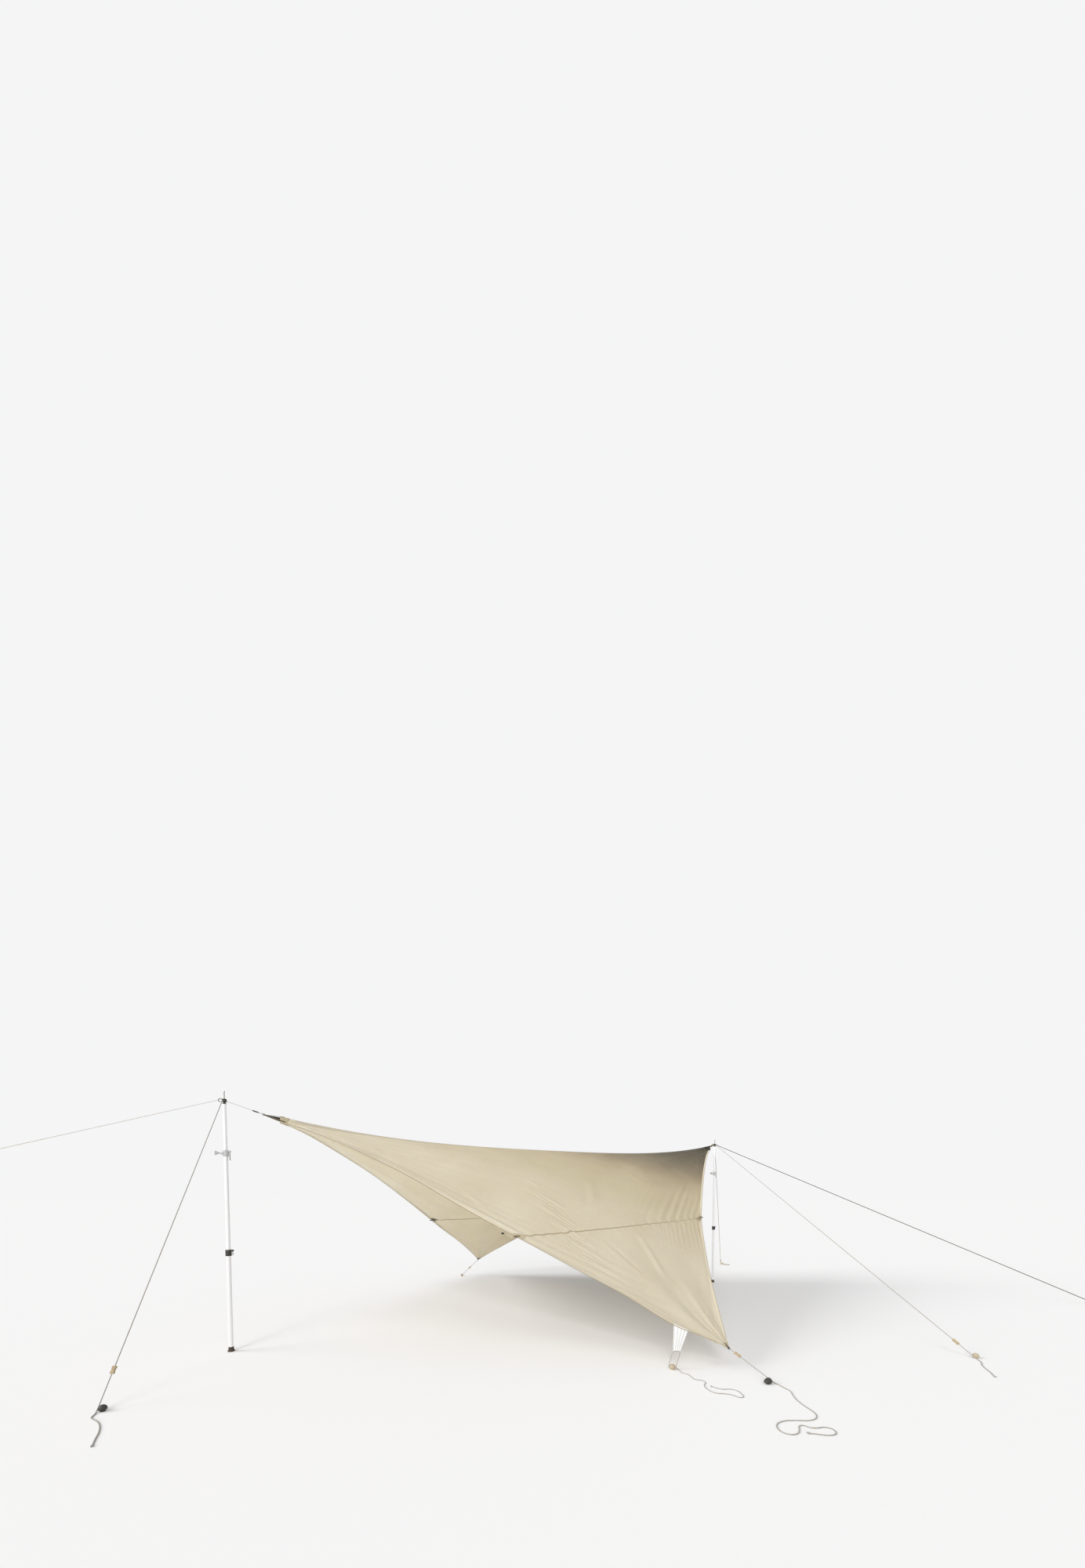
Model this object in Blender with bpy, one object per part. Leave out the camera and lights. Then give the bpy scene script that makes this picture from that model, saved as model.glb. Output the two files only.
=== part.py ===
"""A square tarp pitched on its diagonal between two telescopic poles, with its guy lines and pegs.

Metres, +Z up. The origin is on the ground, midway between the poles. +X runs along the ridge from
the near pole to the far pole, and +Y points to the far wing.
"""

import math

import bmesh
import bpy
import numpy as np
from mathutils import Matrix, Vector

# Clearance between pieces that touch
GAP = 0.0003

# Poles
POLE_SPAN_LENGTH = 5.92
LOWER_TUBE_R = 0.016
TUBE_WALL = 0.0013
LOWER_JOINT_Z = 0.81
UPPER_JOINT_Z = 1.615
TUBE_TOP_Z = 2.008
TUBE_OVERLAP = 0.085
TUBE_SIDES = 20

# Rubber feet
FOOT_R = 0.025
FOOT_H = 0.038
FOOT_FLOOR = 0.008

# Tube clamps with their levers
CLAMP_H = 0.050
CLAMP_WALL = 0.006
CLAMP_CHAMFER = 0.003
EAR_REACH = 0.0085
EAR_R = 0.0065
EAR_T = 0.004
LEVER_W = 0.017
LEVER_T = 0.005
LEVER_PIN_R = 0.003
PIN_BELOW_TOP = 0.008
LOWER_LEVER_LENGTH = 0.038
UPPER_LEVER_LENGTH = 0.073

# Thumb screw of the upper clamp
BOSS_LENGTH = 0.020
BOSS_ROOT_R = 0.017
BOSS_TIP_R = 0.0085
SCREW_R = 0.0035
SCREW_SHOWN = 0.006
KNOB_LENGTH = 0.027
KNOB_R = 0.0185
KNOB_NECK_R = 0.008

# Pole caps and spikes
CAP_R = 0.0165
CAP_BLOCK_H = 0.025
CAP_FLANGE_R = 0.0135
CAP_FLANGE_H = 0.0065
CAP_WAIST_R = 0.0075
CAP_WAIST_H = 0.0085
CAP_PLUG_DEPTH = 0.030
RING_R = 0.0125
RING_WIRE_R = 0.0024
SPIKE_R = 0.004
SPIKE_LENGTH = 0.067
SPIKE_SEAT = 0.015
SPIKE_TIP_R = 0.0055
SPIKE_TIP_LENGTH = 0.018

# Cloth
CLOTH_T = 0.0015
NEAR_STRAP = 0.382
FAR_STRAP = 0.110
RIDGE_NEAR_Z = 1.944
RIDGE_FAR_Z = 2.012
RIDGE_SAG = 0.178
RIDGE_FULLNESS = 3.0
RIDGE_FADE = 4.0
CORNER_CUT = 0.02
CORNER_HEIGHT = 0.056
CORNER_SPREAD = 0.028
PANEL_END = 0.97
PATCH_END = 0.995
COLUMNS = 20
CORNER_COLUMNS = 10
MAIN_ROWS = 11
CORNER_ROWS = 13
PATCH_T = 0.0025

# The wings: where the low corner is held, where the seam crosses, how deep the hems are cut
WINGS = {
    "near": {
        "corner": (0.197, -2.347, 0.159),
        "seam": 0.56,
        # share of the way along the hem, and how far the hem runs inside the straight line there
        "pole_hem": ((0, 0), (0.12, 0.030), (0.25, 0.046), (0.42, 0.028), (0.60, 0.006),
                     (0.78, -0.020), (0.888, -0.067), (0.945, -0.040), (1, 0)),
        "open_hem": ((0, 0), (0.12, 0.062), (0.26, 0.112), (0.43, 0.155), (0.57, 0.176),
                     (0.70, 0.150), (0.82, 0.108), (0.91, 0.058), (1, 0)),
    },
    "far": {
        "corner": (0.161, 2.277, 0.264),
        "seam": 0.60,
        "pole_hem": ((0, 0), (0.15, 0.036), (0.30, 0.066), (0.50, 0.074), (0.70, 0.065),
                     (0.85, 0.040), (1, 0)),
        "open_hem": ((0, 0), (0.15, 0.055), (0.30, 0.090), (0.50, 0.105), (0.70, 0.090),
                     (0.85, 0.055), (1, 0)),
    },
}

# Main folds: how high, how many and how far they reach from the corner that gathers them
POLE_PLEATS = (0.011, 3.0, 1.1)
OPEN_PLEATS = (0.010, 2.5, 1.0)
WING_PLEATS = (0.012, 3.0, 0.9)
HEM_FOLD_HEIGHT = 0.012
HEM_FOLD_INSIDE = 0.11
HEM_FOLD_WIDTH = 0.07
RIDGE_CALM = 0.12

# Tension tab on the near wing's hem
TAB_ROW = 11
TAB_TOP_W = 0.110
TAB_BOTTOM_W = 0.055
TAB_DROP = 0.165
TAB_LEAN = 0.45
TAB_T = 0.0025
TAB_CORD_R = 0.0025

# Straps and buckle
WEBBING_W = 0.025
WEBBING_T = 0.002
STRAND_W = 0.012
YOKE_LENGTH = 0.117
YOKE_RISE = 0.006
YOKE_R = 0.012
BUCKLE_LENGTH = 0.044
BUCKLE_W = 0.034
BUCKLE_T = 0.010
BUCKLE_SLOT = 0.009
BUCKLE_GAP_TO_YOKE = 0.034

# Guy lines, pegs and line tensioners
LINE_R = 0.003
LONG_LINE_R = 0.004
PEG_R = 0.0225
PEG_H = 0.040
PEG_NECK_R = 0.013
PEG_AIM_Z = 0.018
PEG_SIDES = 12
LINE_TOP_Z = 2.034
SLIDER_LENGTH = 0.046
SLIDER_W = 0.022
SLIDER_T = 0.013
SLIDER_BORE_R = 0.0036
SLIDER_END_SHARE = 0.8
SLIDER_WAIST_SHARE = 0.72
EYE_R = 0.020
LOOP_R = 0.012
LOOP_HOLE_R = 0.0075

PEGS = {
    "near_wing": (0.220, -2.642),
    "far_wing": (-0.070, 2.400),
    "far_back": (4.600, 1.095),
    "far_front": (2.070, -3.180),
    "far_long": (5.600, -3.255),
    "near_side": (-3.527, -0.875),
    "tab": (-0.150, -2.130),
}
OUTER_LINE_END = (-4.250, 0.0, 1.563)

# Free rope on the ground: the points that each tail runs through, x and y
NEAR_WING_TAIL = (
    (0.252, -2.690), (0.236, -2.740), (0.222, -2.790), (0.175, -2.835), (0.132, -2.882), (0.103, -2.930),
    (0.082, -2.972), (0.066, -3.010), (0.040, -3.050), (-0.010, -3.075), (-0.070, -3.068), (-0.130, -3.030),
    (-0.190, -3.000), (-0.255, -2.998), (-0.300, -3.025), (-0.322, -3.066), (-0.305, -3.104),
    (-0.262, -3.116), (-0.215, -3.098), (-0.180, -3.075), (-0.150, -3.082), (-0.142, -3.118),
    (-0.112, -3.138), (-0.074, -3.150), (-0.054, -3.180), (-0.072, -3.214), (-0.112, -3.222),
    (-0.150, -3.204), (-0.185, -3.168), (-0.215, -3.140),
)
TAB_TAIL = (
    (-0.124, -2.175), (-0.145, -2.212), (-0.130, -2.250), (-0.144, -2.300), (-0.160, -2.343),
    (-0.130, -2.378),
    (-0.135, -2.415), (-0.180, -2.440), (-0.210, -2.480), (-0.224, -2.530), (-0.210, -2.572),
    (-0.175, -2.598), (-0.150, -2.635), (-0.146, -2.680), (-0.112, -2.688), (-0.084, -2.650),
    (-0.068, -2.605), (-0.092, -2.566), (-0.130, -2.548), (-0.150, -2.510), (-0.160, -2.475),
)
NEAR_SIDE_TAIL = (
    (-3.552, -0.912), (-3.556, -0.960), (-3.528, -1.005), (-3.500, -1.060), (-3.478, -1.130),
    (-3.464, -1.210),
    (-3.458, -1.290), (-3.449, -1.368),
)
FAR_FRONT_TAIL = (
    (2.020, -3.212), (1.975, -3.240), (1.905, -3.262), (1.835, -3.300), (1.765, -3.345), (1.680, -3.390),
)
FAR_BACK_TAIL = (
    (4.618, 1.134), (4.662, 1.124), (4.700, 1.092), (4.712, 1.048), (4.692, 1.006), (4.650, 0.988),
    (4.608, 1.000), (4.584, 1.034),
)

# Which taut lines run on past their pegs, on which side of the head, and the tail that follows
LINE_TAILS = {
    "near_side_line": (-1, NEAR_SIDE_TAIL),
    "far_back_line": (1, FAR_BACK_TAIL),
    "far_front_line": (-1, FAR_FRONT_TAIL),
    "near_wing_line": (1, NEAR_WING_TAIL),
}


def lerp(a, b, share):
    return a + (b - a) * share


def smooth_through(points, spacing):
    """Points spaced along a Catmull-Rom curve that passes through the given ones."""
    p = np.array(points, float)
    p = np.vstack([2 * p[0] - p[1], p, 2 * p[-1] - p[-2]])
    u = np.linspace(0, 1, 12, endpoint=False)[:, None]
    runs = []
    for a, b, c, d in zip(p[:-3], p[1:-2], p[2:-1], p[3:]):
        runs.append(0.5 * (2 * b + (c - a) * u + (2 * a - 5 * b + 4 * c - d) * u**2
                           + (3 * b - a - 3 * c + d) * u**3))
    line = np.vstack([*runs, p[-2]])
    along = np.concatenate([[0], np.cumsum(np.linalg.norm(np.diff(line, axis=0), axis=1))])
    marks = np.linspace(0, along[-1], max(2, round(along[-1] / spacing)) + 1)
    return np.column_stack([np.interp(marks, along, line[:, k]) for k in range(line.shape[1])])


def material(name, colour, roughness, metallic=0.0):
    made = bpy.data.materials.new(name)
    made.use_nodes = True
    made.diffuse_color = (*colour, 1)
    shader = made.node_tree.nodes["Principled BSDF"]
    shader.inputs["Base Color"].default_value = (*colour, 1)
    shader.inputs["Roughness"].default_value = roughness
    shader.inputs["Metallic"].default_value = metallic
    return made


def add_mesh(name, points, faces, finish, at=(0, 0, 0), smooth=0.0):
    """One closed body from points and faces, its faces turned outwards."""
    mesh = bpy.data.meshes.new(name)
    mesh.from_pydata([tuple(p) for p in points], [], faces)
    shaped = bmesh.new()
    shaped.from_mesh(mesh)
    bmesh.ops.recalc_face_normals(shaped, faces=shaped.faces)
    shaped.to_mesh(mesh)
    shaped.free()
    if smooth:
        mesh.shade_smooth()
        mesh.set_sharp_from_angle(angle=smooth)
    made = bpy.data.objects.new(name, mesh)
    made.location = at
    made.data.materials.append(finish)
    bpy.context.collection.objects.link(made)
    return made


def turned(name, profile, finish, at=(0, 0, 0), sides=TUBE_SIDES, axis=(0, 0, 1), ring=False):
    """A body of revolution from (radius, height) points. A ring's profile closes on itself."""
    turn = Vector((0, 0, 1)).rotation_difference(Vector(axis)).to_matrix()
    points, rows = [], []
    for radius, height in profile:
        count = 1 if radius < 1e-9 else sides
        rows.append([len(points) + k for k in range(count)])
        for k in range(count):
            angle = 2 * math.pi * k / sides
            points.append(turn @ Vector((radius * math.cos(angle), radius * math.sin(angle), height)))
    faces = []
    pairs = list(zip(rows, rows[1:] + rows[:1] if ring else rows[1:]))
    for low, high in pairs:
        for k in range(sides):
            n = (k + 1) % sides
            corner = [low[k % len(low)], low[n % len(low)], high[n % len(high)], high[k % len(high)]]
            faces.append(list(dict.fromkeys(corner)))
    if not ring:
        faces += [row for row in (rows[0], rows[-1]) if len(row) > 1]
    return add_mesh(name, points, faces, finish, at, smooth=math.radians(35))


def extruded(name, outline, depth, finish, at=(0, 0, 0)):
    """An outline in X and Z, drawn to a depth along Y and centred on it."""
    count = len(outline)
    points = [(x, side * depth / 2, z) for side in (-1, 1) for x, z in outline]
    faces = [list(range(count)), list(range(count, 2 * count))]
    faces += [[k, (k + 1) % count, count + (k + 1) % count, count + k] for k in range(count)]
    return add_mesh(name, points, faces, finish, at)


def arc(centre, radius, start, end, steps):
    """Points of an arc in X and Z, its angles in degrees."""
    angles = np.radians(np.linspace(start, end, steps + 1))
    return [(centre[0] + radius * math.cos(a), centre[1] + radius * math.sin(a)) for a in angles]


def join_on(target, other, operation="UNION"):
    """Fuses another body to the target, or cuts it out, and leaves it as a guide."""
    change = target.modifiers.new(other.name, "BOOLEAN")
    change.operation = operation
    change.object = other
    other.hide_render = True
    other.display_type = "WIRE"
    other.hide_set(True)
    other.name = f"guide_{target.name}_{len(target.modifiers)}"


def cord(name, route, radius, finish):
    """Round cord along a route, as a curve with filled ends."""
    curve = bpy.data.curves.new(name, "CURVE")
    curve.dimensions = "3D"
    curve.bevel_depth = radius
    curve.bevel_resolution = 2 if len(route) < 10 else 1
    curve.use_fill_caps = True
    origin = Vector(route[0])
    spline = curve.splines.new("POLY")
    spline.points.add(len(route) - 1)
    for point, place in zip(spline.points, route):
        point.co = (*(Vector(place) - origin), 1)
    curve.materials.append(finish)
    made = bpy.data.objects.new(name, curve)
    made.location = origin
    bpy.context.collection.objects.link(made)
    return made


# Finishes
def finishes():
    return {
        "cloth": material("cotton_cloth", (0.62, 0.52, 0.38), 0.92),
        "patch": material("reinforcing_cloth", (0.30, 0.28, 0.22), 0.9),
        "white": material("white_webbing", (0.80, 0.79, 0.76), 0.85),
        "webbing": material("tan_webbing", (0.42, 0.32, 0.18), 0.85),
        "rope": material("grey_rope", (0.40, 0.40, 0.37), 0.85),
        "dark_rope": material("olive_rope", (0.16, 0.12, 0.06), 0.85),
        "aluminium": material("anodised_tube", (0.78, 0.78, 0.79), 0.3, 1.0),
        "black": material("black_nylon", (0.035, 0.036, 0.03), 0.5),
        "rubber": material("brown_rubber", (0.07, 0.055, 0.045), 0.8),
        "grey": material("grey_nylon", (0.45, 0.45, 0.45), 0.5),
        "steel": material("plated_steel", (0.5, 0.5, 0.48), 0.35, 1.0),
        "beige": material("beige_nylon", (0.55, 0.46, 0.34), 0.6),
    }


# Poles
def tube_radii():
    middle = LOWER_TUBE_R - TUBE_WALL - GAP
    return LOWER_TUBE_R, middle, middle - TUBE_WALL - GAP


def tube(name, radius, low, high, finish, at):
    inner = radius - TUBE_WALL
    profile = ((inner, low), (radius, low), (radius, high), (inner, high))
    return turned(name, profile, finish, at, ring=True)


def foot(name, finish, at):
    """A cup of rubber that flares to the ground."""
    socket = LOWER_TUBE_R + GAP
    collar = socket + 0.003
    profile = ((0, 0), (FOOT_R - 0.0015, 0), (FOOT_R, 0.003), (FOOT_R, 0.009), (collar + 0.0015, 0.016),
               (collar, FOOT_H), (socket, FOOT_H), (socket, FOOT_FLOOR), (0, FOOT_FLOOR))
    return turned(name, profile, finish, at)


def clamp_radius(outer_tube):
    return outer_tube + GAP + CLAMP_WALL


def pin_place(outer_tube):
    return clamp_radius(outer_tube) + EAR_REACH, CLAMP_H / 2 - PIN_BELOW_TOP


def clamp(name, outer_tube, inner_tube, finish, at, boss):
    """The collar that grips the thinner tube, with ears and a pin for its lever."""
    low, high, wide = -CLAMP_H / 2, CLAMP_H / 2, clamp_radius(outer_tube)
    socket, throat = outer_tube + GAP, inner_tube + GAP
    profile = ((socket, low), (wide - CLAMP_CHAMFER, low), (wide, low + CLAMP_CHAMFER),
               (wide, high - CLAMP_CHAMFER), (wide - CLAMP_CHAMFER, high), (throat, high),
               (throat, 0), (socket, 0))
    made = turned(name, profile, finish, at, ring=True)
    pin_x, pin_z = pin_place(outer_tube)
    root = wide - 0.003
    outline = [(root, pin_z - EAR_R), *arc((pin_x, pin_z), EAR_R, -90, 90, 6), (root, pin_z + EAR_R)]
    shift = LEVER_W / 2 + GAP + EAR_T / 2
    for side in (-1, 1):
        ear = extruded("ear", outline, EAR_T, finish, Vector(at) + Vector((0, side * shift, 0)))
        join_on(made, ear)
    length = LEVER_W + 2 * (GAP + EAR_T) + 0.002
    pin = turned("pin", ((LEVER_PIN_R, -length / 2), (LEVER_PIN_R, length / 2)), finish,
                 Vector(at) + Vector((pin_x, 0, pin_z)), sides=12, axis=(0, 1, 0))
    join_on(made, pin)
    if boss:
        start = wide - 0.004
        cone = turned("boss", ((BOSS_ROOT_R, start), (BOSS_TIP_R, wide + BOSS_LENGTH)), finish, at,
                      sides=16, axis=(-1, 0, 0))
        join_on(made, cone)
        bore = turned("bore", ((SCREW_R + GAP, wide + 0.002), (SCREW_R + GAP, wide + BOSS_LENGTH + 0.01)),
                      finish, at, sides=12, axis=(-1, 0, 0))
        join_on(made, bore, "DIFFERENCE")
    return made


def lever(name, outer_tube, length, finish, at):
    """A cam lever that hangs down beside the collar, with a hub bored for its pin."""
    pin_x, pin_z = pin_place(outer_tube)
    back = -EAR_R
    outline = [*arc((0, 0), EAR_R, 180, -20, 10), (back + LEVER_T + 0.0035, -0.012),
               (back + LEVER_T, -0.020), (back + LEVER_T, -length * 0.8), (back + LEVER_T + 0.0025, -length),
               (back + 0.0025, -length), (back, -length * 0.8)]
    made = extruded(name, outline, LEVER_W, finish, Vector(at) + Vector((pin_x, 0, pin_z)))
    bore = turned("bore", ((LEVER_PIN_R + GAP, -LEVER_W), (LEVER_PIN_R + GAP, LEVER_W)), finish,
                  made.location, sides=12, axis=(0, 1, 0))
    join_on(made, bore, "DIFFERENCE")
    return made


def thumb_screw(name, outer_tube, finish, at):
    """A conical knob on a plain screw that seats in the clamp's boss."""
    boss_end = clamp_radius(outer_tube) + BOSS_LENGTH
    tip, head = clamp_radius(outer_tube) + 0.002 + GAP, boss_end + SCREW_SHOWN
    end = head + KNOB_LENGTH
    profile = ((0, tip), (SCREW_R, tip), (SCREW_R, head), (KNOB_NECK_R, head + 0.001),
               (KNOB_R - 0.002, end - 0.006), (KNOB_R, end - 0.004), (KNOB_R - 0.002, end), (0, end + 0.001))
    return turned(name, profile, finish, at, sides=16, axis=(-1, 0, 0))


def cap_block_z():
    return TUBE_TOP_Z + GAP + CAP_FLANGE_H + CAP_WAIST_H


def cap(name, bore, finish, at, outer):
    """The plug, flange, waist and block that close the tube, with a ring on its outer side."""
    low = TUBE_TOP_Z + GAP
    block = cap_block_z()
    top = block + CAP_BLOCK_H
    plug = bore - GAP
    profile = ((0, low - CAP_PLUG_DEPTH), (plug, low - CAP_PLUG_DEPTH), (plug, low), (CAP_FLANGE_R, low),
               (CAP_FLANGE_R, low + CAP_FLANGE_H), (CAP_WAIST_R, low + CAP_FLANGE_H + 0.001),
               (CAP_WAIST_R, block), (CAP_R - 0.002, block), (CAP_R, block + 0.002), (CAP_R, top - 0.003),
               (CAP_R - 0.003, top), (SPIKE_R + GAP, top), (SPIKE_R + GAP, top - SPIKE_SEAT),
               (0, top - SPIKE_SEAT))
    made = turned(name, profile, finish, at)
    middle = Vector(at) + Vector((outer * (CAP_R + RING_R - RING_WIRE_R), 0, block + CAP_BLOCK_H / 2))
    circle = [(RING_R + RING_WIRE_R * math.cos(a), RING_WIRE_R * math.sin(a))
              for a in np.linspace(0, 2 * math.pi, 7)[:-1]]
    join_on(made, turned("ring", circle, finish, middle, sides=12, axis=(0, 1, 0), ring=True))
    return made


def spike(name, finish, at):
    """The pin on the cap, with a rounded tip."""
    low = cap_block_z() + CAP_BLOCK_H - SPIKE_SEAT + GAP
    top = low - GAP + SPIKE_SEAT + SPIKE_LENGTH
    neck = top - SPIKE_TIP_LENGTH
    profile = ((0, low), (SPIKE_R, low), (SPIKE_R, neck), (SPIKE_TIP_R, neck + 0.002),
               (SPIKE_TIP_R, top - 0.005), (SPIKE_TIP_R * 0.6, top - 0.001), (0, top))
    return turned(name, profile, finish, at, sides=12)


def pole(side, x, finish):
    """One pole: three tubes that slide in each other, two clamps, a foot, a cap and a spike."""
    lower, middle, upper = tube_radii()
    base = bpy.data.objects.new(f"{side}_pole", None)
    base.location = (x, 0, 0)
    bpy.context.collection.objects.link(base)
    low_joint, high_joint = (0, 0, LOWER_JOINT_Z), (0, 0, UPPER_JOINT_Z)
    ground = (0, 0, 0)
    pieces = [
        foot(f"{side}_foot", finish["rubber"], ground),
        tube(f"{side}_lower_tube", lower, FOOT_FLOOR + GAP, LOWER_JOINT_Z - GAP, finish["aluminium"],
             ground),
        tube(f"{side}_middle_tube", middle, LOWER_JOINT_Z - TUBE_OVERLAP, UPPER_JOINT_Z - GAP,
             finish["aluminium"], ground),
        tube(f"{side}_upper_tube", upper, UPPER_JOINT_Z - TUBE_OVERLAP, TUBE_TOP_Z, finish["aluminium"],
             ground),
        clamp(f"{side}_lower_clamp", lower, middle, finish["black"], low_joint, False),
        clamp(f"{side}_upper_clamp", middle, upper, finish["grey"], high_joint, True),
        lever(f"{side}_lower_lever", lower, LOWER_LEVER_LENGTH, finish["black"], low_joint),
        lever(f"{side}_upper_lever", middle, UPPER_LEVER_LENGTH, finish["black"], high_joint),
        thumb_screw(f"{side}_clamp_knob", middle, finish["grey"], high_joint),
        cap(f"{side}_cap", upper - TUBE_WALL, finish["black"], ground, math.copysign(1, x)),
        spike(f"{side}_spike", finish["steel"], ground),
    ]
    guides = [change.object for piece in pieces for change in piece.modifiers]
    for piece in pieces + guides:
        piece.parent = base
    return pieces


# Cloth surface
def ridge_ends():
    half = POLE_SPAN_LENGTH / 2
    return (np.array([-half + NEAR_STRAP, 0, RIDGE_NEAR_Z]), np.array([half - FAR_STRAP, 0, RIDGE_FAR_Z]))


def hem_inside(offsets, share):
    """How far inside the straight line the hem runs, at each share of its length."""
    line = smooth_through(offsets, 0.01)
    return np.interp(share, line[:, 0], line[:, 1])


def cloth_point(wing, t, v):
    """The cloth's middle surface: t runs along the ridge, v from the ridge to the low corner.

    Straight rows join the two hems. The hems' cut, the ridge's sag, the blunt upper corners and
    the main folds are added to them.
    """
    facts = WINGS[wing]
    a, b = ridge_ends()
    c = np.array(facts["corner"], float)
    t, v = np.broadcast_arrays(np.asarray(t, float), np.asarray(v, float))
    t, v = t[..., None], v[..., None]
    place = lerp(lerp(a, b, t), c, v)
    normal = np.cross(b - a, c - a)
    for end, other, offsets, share in ((a, b, facts["pole_hem"], 1 - t), (b, a, facts["open_hem"], t)):
        inward = np.cross(normal, c - end)
        inward /= np.linalg.norm(inward)
        inward *= np.sign(inward @ (other - end))
        place = place + inward * hem_inside(offsets, v) * share
        blunt = end + np.array([0, math.copysign(CORNER_SPREAD, c[1]), -CORNER_HEIGHT])
        shift = blunt - lerp(end, c, CORNER_CUT)
        rise = np.where(v < CORNER_CUT, v / CORNER_CUT, np.exp(-(v - CORNER_CUT) / 0.04))
        place = place + shift * rise * share**10
    sag = RIDGE_SAG * (1 - np.abs(2 * t - 1) ** RIDGE_FULLNESS) * (1 - v) ** RIDGE_FADE
    height = folds(place, (a, b, c), t, v) - sag
    return place + height * np.array([0, 0, 1])


def folds(place, corners, t, v):
    """Pleats that fan out from the three held corners, and the long fold beside the pole hem."""
    a, b, c = corners
    spread = {"pole": v / (v + t + 1e-6), "open": v / (v + 1 - t + 1e-6), "wing": t}
    height = 0 * t
    for corner, fan, (depth, count, reach) in ((a, spread["pole"], POLE_PLEATS),
                                               (b, spread["open"], OPEN_PLEATS),
                                               (c, spread["wing"], WING_PLEATS)):
        away = np.linalg.norm(place - corner, axis=-1, keepdims=True)
        fade = np.exp(-((away / reach) ** 2)) * (1 - np.exp(-away / 0.15))
        height = height + depth * fade * np.cos(2 * math.pi * count * fan)
    along = (c - a) / np.linalg.norm(c - a)
    inside = np.linalg.norm(np.cross(place - a, along), axis=-1, keepdims=True)
    crest = np.exp(-(((inside - HEM_FOLD_INSIDE) / HEM_FOLD_WIDTH) ** 2))
    height = height + HEM_FOLD_HEIGHT * crest * np.sin(math.pi * np.clip(v / 0.55, 0, 1))
    return height * (1 - np.exp(-v / RIDGE_CALM))


def half_gap_row(wing):
    """Half of the gap between two panels, as a share of the wing's reach in plan."""
    return GAP / 2 / abs(WINGS[wing]["corner"][1])


def panel_rows(wing, panel):
    """The row values of a panel. Panels meet at the ridge and at the seam with a small gap."""
    half_gap = half_gap_row(wing)
    seam = WINGS[wing]["seam"]
    if panel == "main":
        return np.concatenate([[half_gap, CORNER_CUT], np.linspace(0.05, seam - half_gap, MAIN_ROWS)])
    return np.linspace(seam + half_gap, PANEL_END, CORNER_ROWS + 1)


def panel_grid(wing, panel):
    columns = COLUMNS if panel == "main" else CORNER_COLUMNS
    t = np.linspace(0, 1, columns + 1)
    return cloth_point(wing, t[None, :], panel_rows(wing, panel)[:, None])


def cells(rows, columns, lean):
    """The two triangles of each cell of a grid. The diagonals lean away from the middle."""
    faces = []
    for i in range(rows[0], rows[1]):
        for j in range(columns[0], columns[1]):
            low, high = (i, j), (i, j + 1)
            up, over = (i + 1, j), (i + 1, j + 1)
            if (j < columns[2] / 2) == (lean == "main"):
                faces += [(low, over, up), (low, high, over)]
            else:
                faces += [(low, high, up), (high, over, up)]
    return faces


def sheet_solid(name, grid, triangles, lifts, finish):
    """A closed solid from triangles of a grid, its two skins lifted straight up from them."""
    used = sorted({corner for face in triangles for corner in face})
    index = {corner: k for k, corner in enumerate(used)}
    count = len(used)
    points = [grid[corner] + np.array([0, 0, lift]) for lift in lifts for corner in used]
    faces, edges = [], {}
    for face in triangles:
        ids = [index[corner] for corner in face]
        faces += [ids, [k + count for k in ids]]
        for p, q in zip(ids, ids[1:] + ids[:1]):
            key = (min(p, q), max(p, q))
            edges[key] = edges.get(key, 0) + 1
    faces += [[p, q, q + count, p + count] for (p, q), uses in edges.items() if uses == 1]
    return add_mesh(name, points, faces, finish)


def canopy(finish):
    """Two panels a wing, the reinforcing patches on the corners, and those on the seams' ends."""
    half = CLOTH_T / 2
    for wing in WINGS:
        everything = cells((0, MAIN_ROWS + 1), (0, COLUMNS, COLUMNS), "main")
        sheet_solid(f"{wing}_main_panel", panel_grid(wing, "main"), everything, (-half, half),
                    finish["cloth"])
        everything = cells((0, CORNER_ROWS), (0, CORNER_COLUMNS, CORNER_COLUMNS), "corner")
        sheet_solid(f"{wing}_corner_panel", panel_grid(wing, "corner"), everything, (-half, half),
                    finish["cloth"])
        ends = np.linspace(PANEL_END + 2 * half_gap_row(wing), PATCH_END, 3)
        corner = cloth_point(wing, np.linspace(0, 1, 5)[None, :], ends[:, None])
        sheet_solid(f"{wing}_wing_patch", corner, cells((0, 2), (0, 4, 4), "main"), (-PATCH_T, PATCH_T),
                    finish["patch"])
        for end in ("near", "far"):
            seam_end(wing, end, finish)
    for end in ("near", "far"):
        pole_patch(end, finish)


def pole_patch(end, finish):
    """The patch on a held upper corner, folded over the ridge. It lies on the panels' own facets."""
    columns = (0, 1) if end == "near" else (COLUMNS - 1, COLUMNS)
    grids = {wing: panel_grid(wing, "main")[:, columns[0]:columns[1] + 1] for wing in WINGS}
    ridge = cloth_point("near", np.array(columns) / COLUMNS, 0)
    rows = [grids["near"][2], grids["near"][1], ridge, grids["far"][1], grids["far"][2]]
    half = cells((0, 2), (0, 1, 4 if end == "near" else 0), "main")
    faces = [tuple((2 + way * i, j) for i, j in face) for way in (-1, 1) for face in half]
    low = CLOTH_T / 2 + GAP
    sheet_solid(f"{end}_pole_patch", np.array(rows), faces, (low, low + PATCH_T), finish["patch"])


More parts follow.
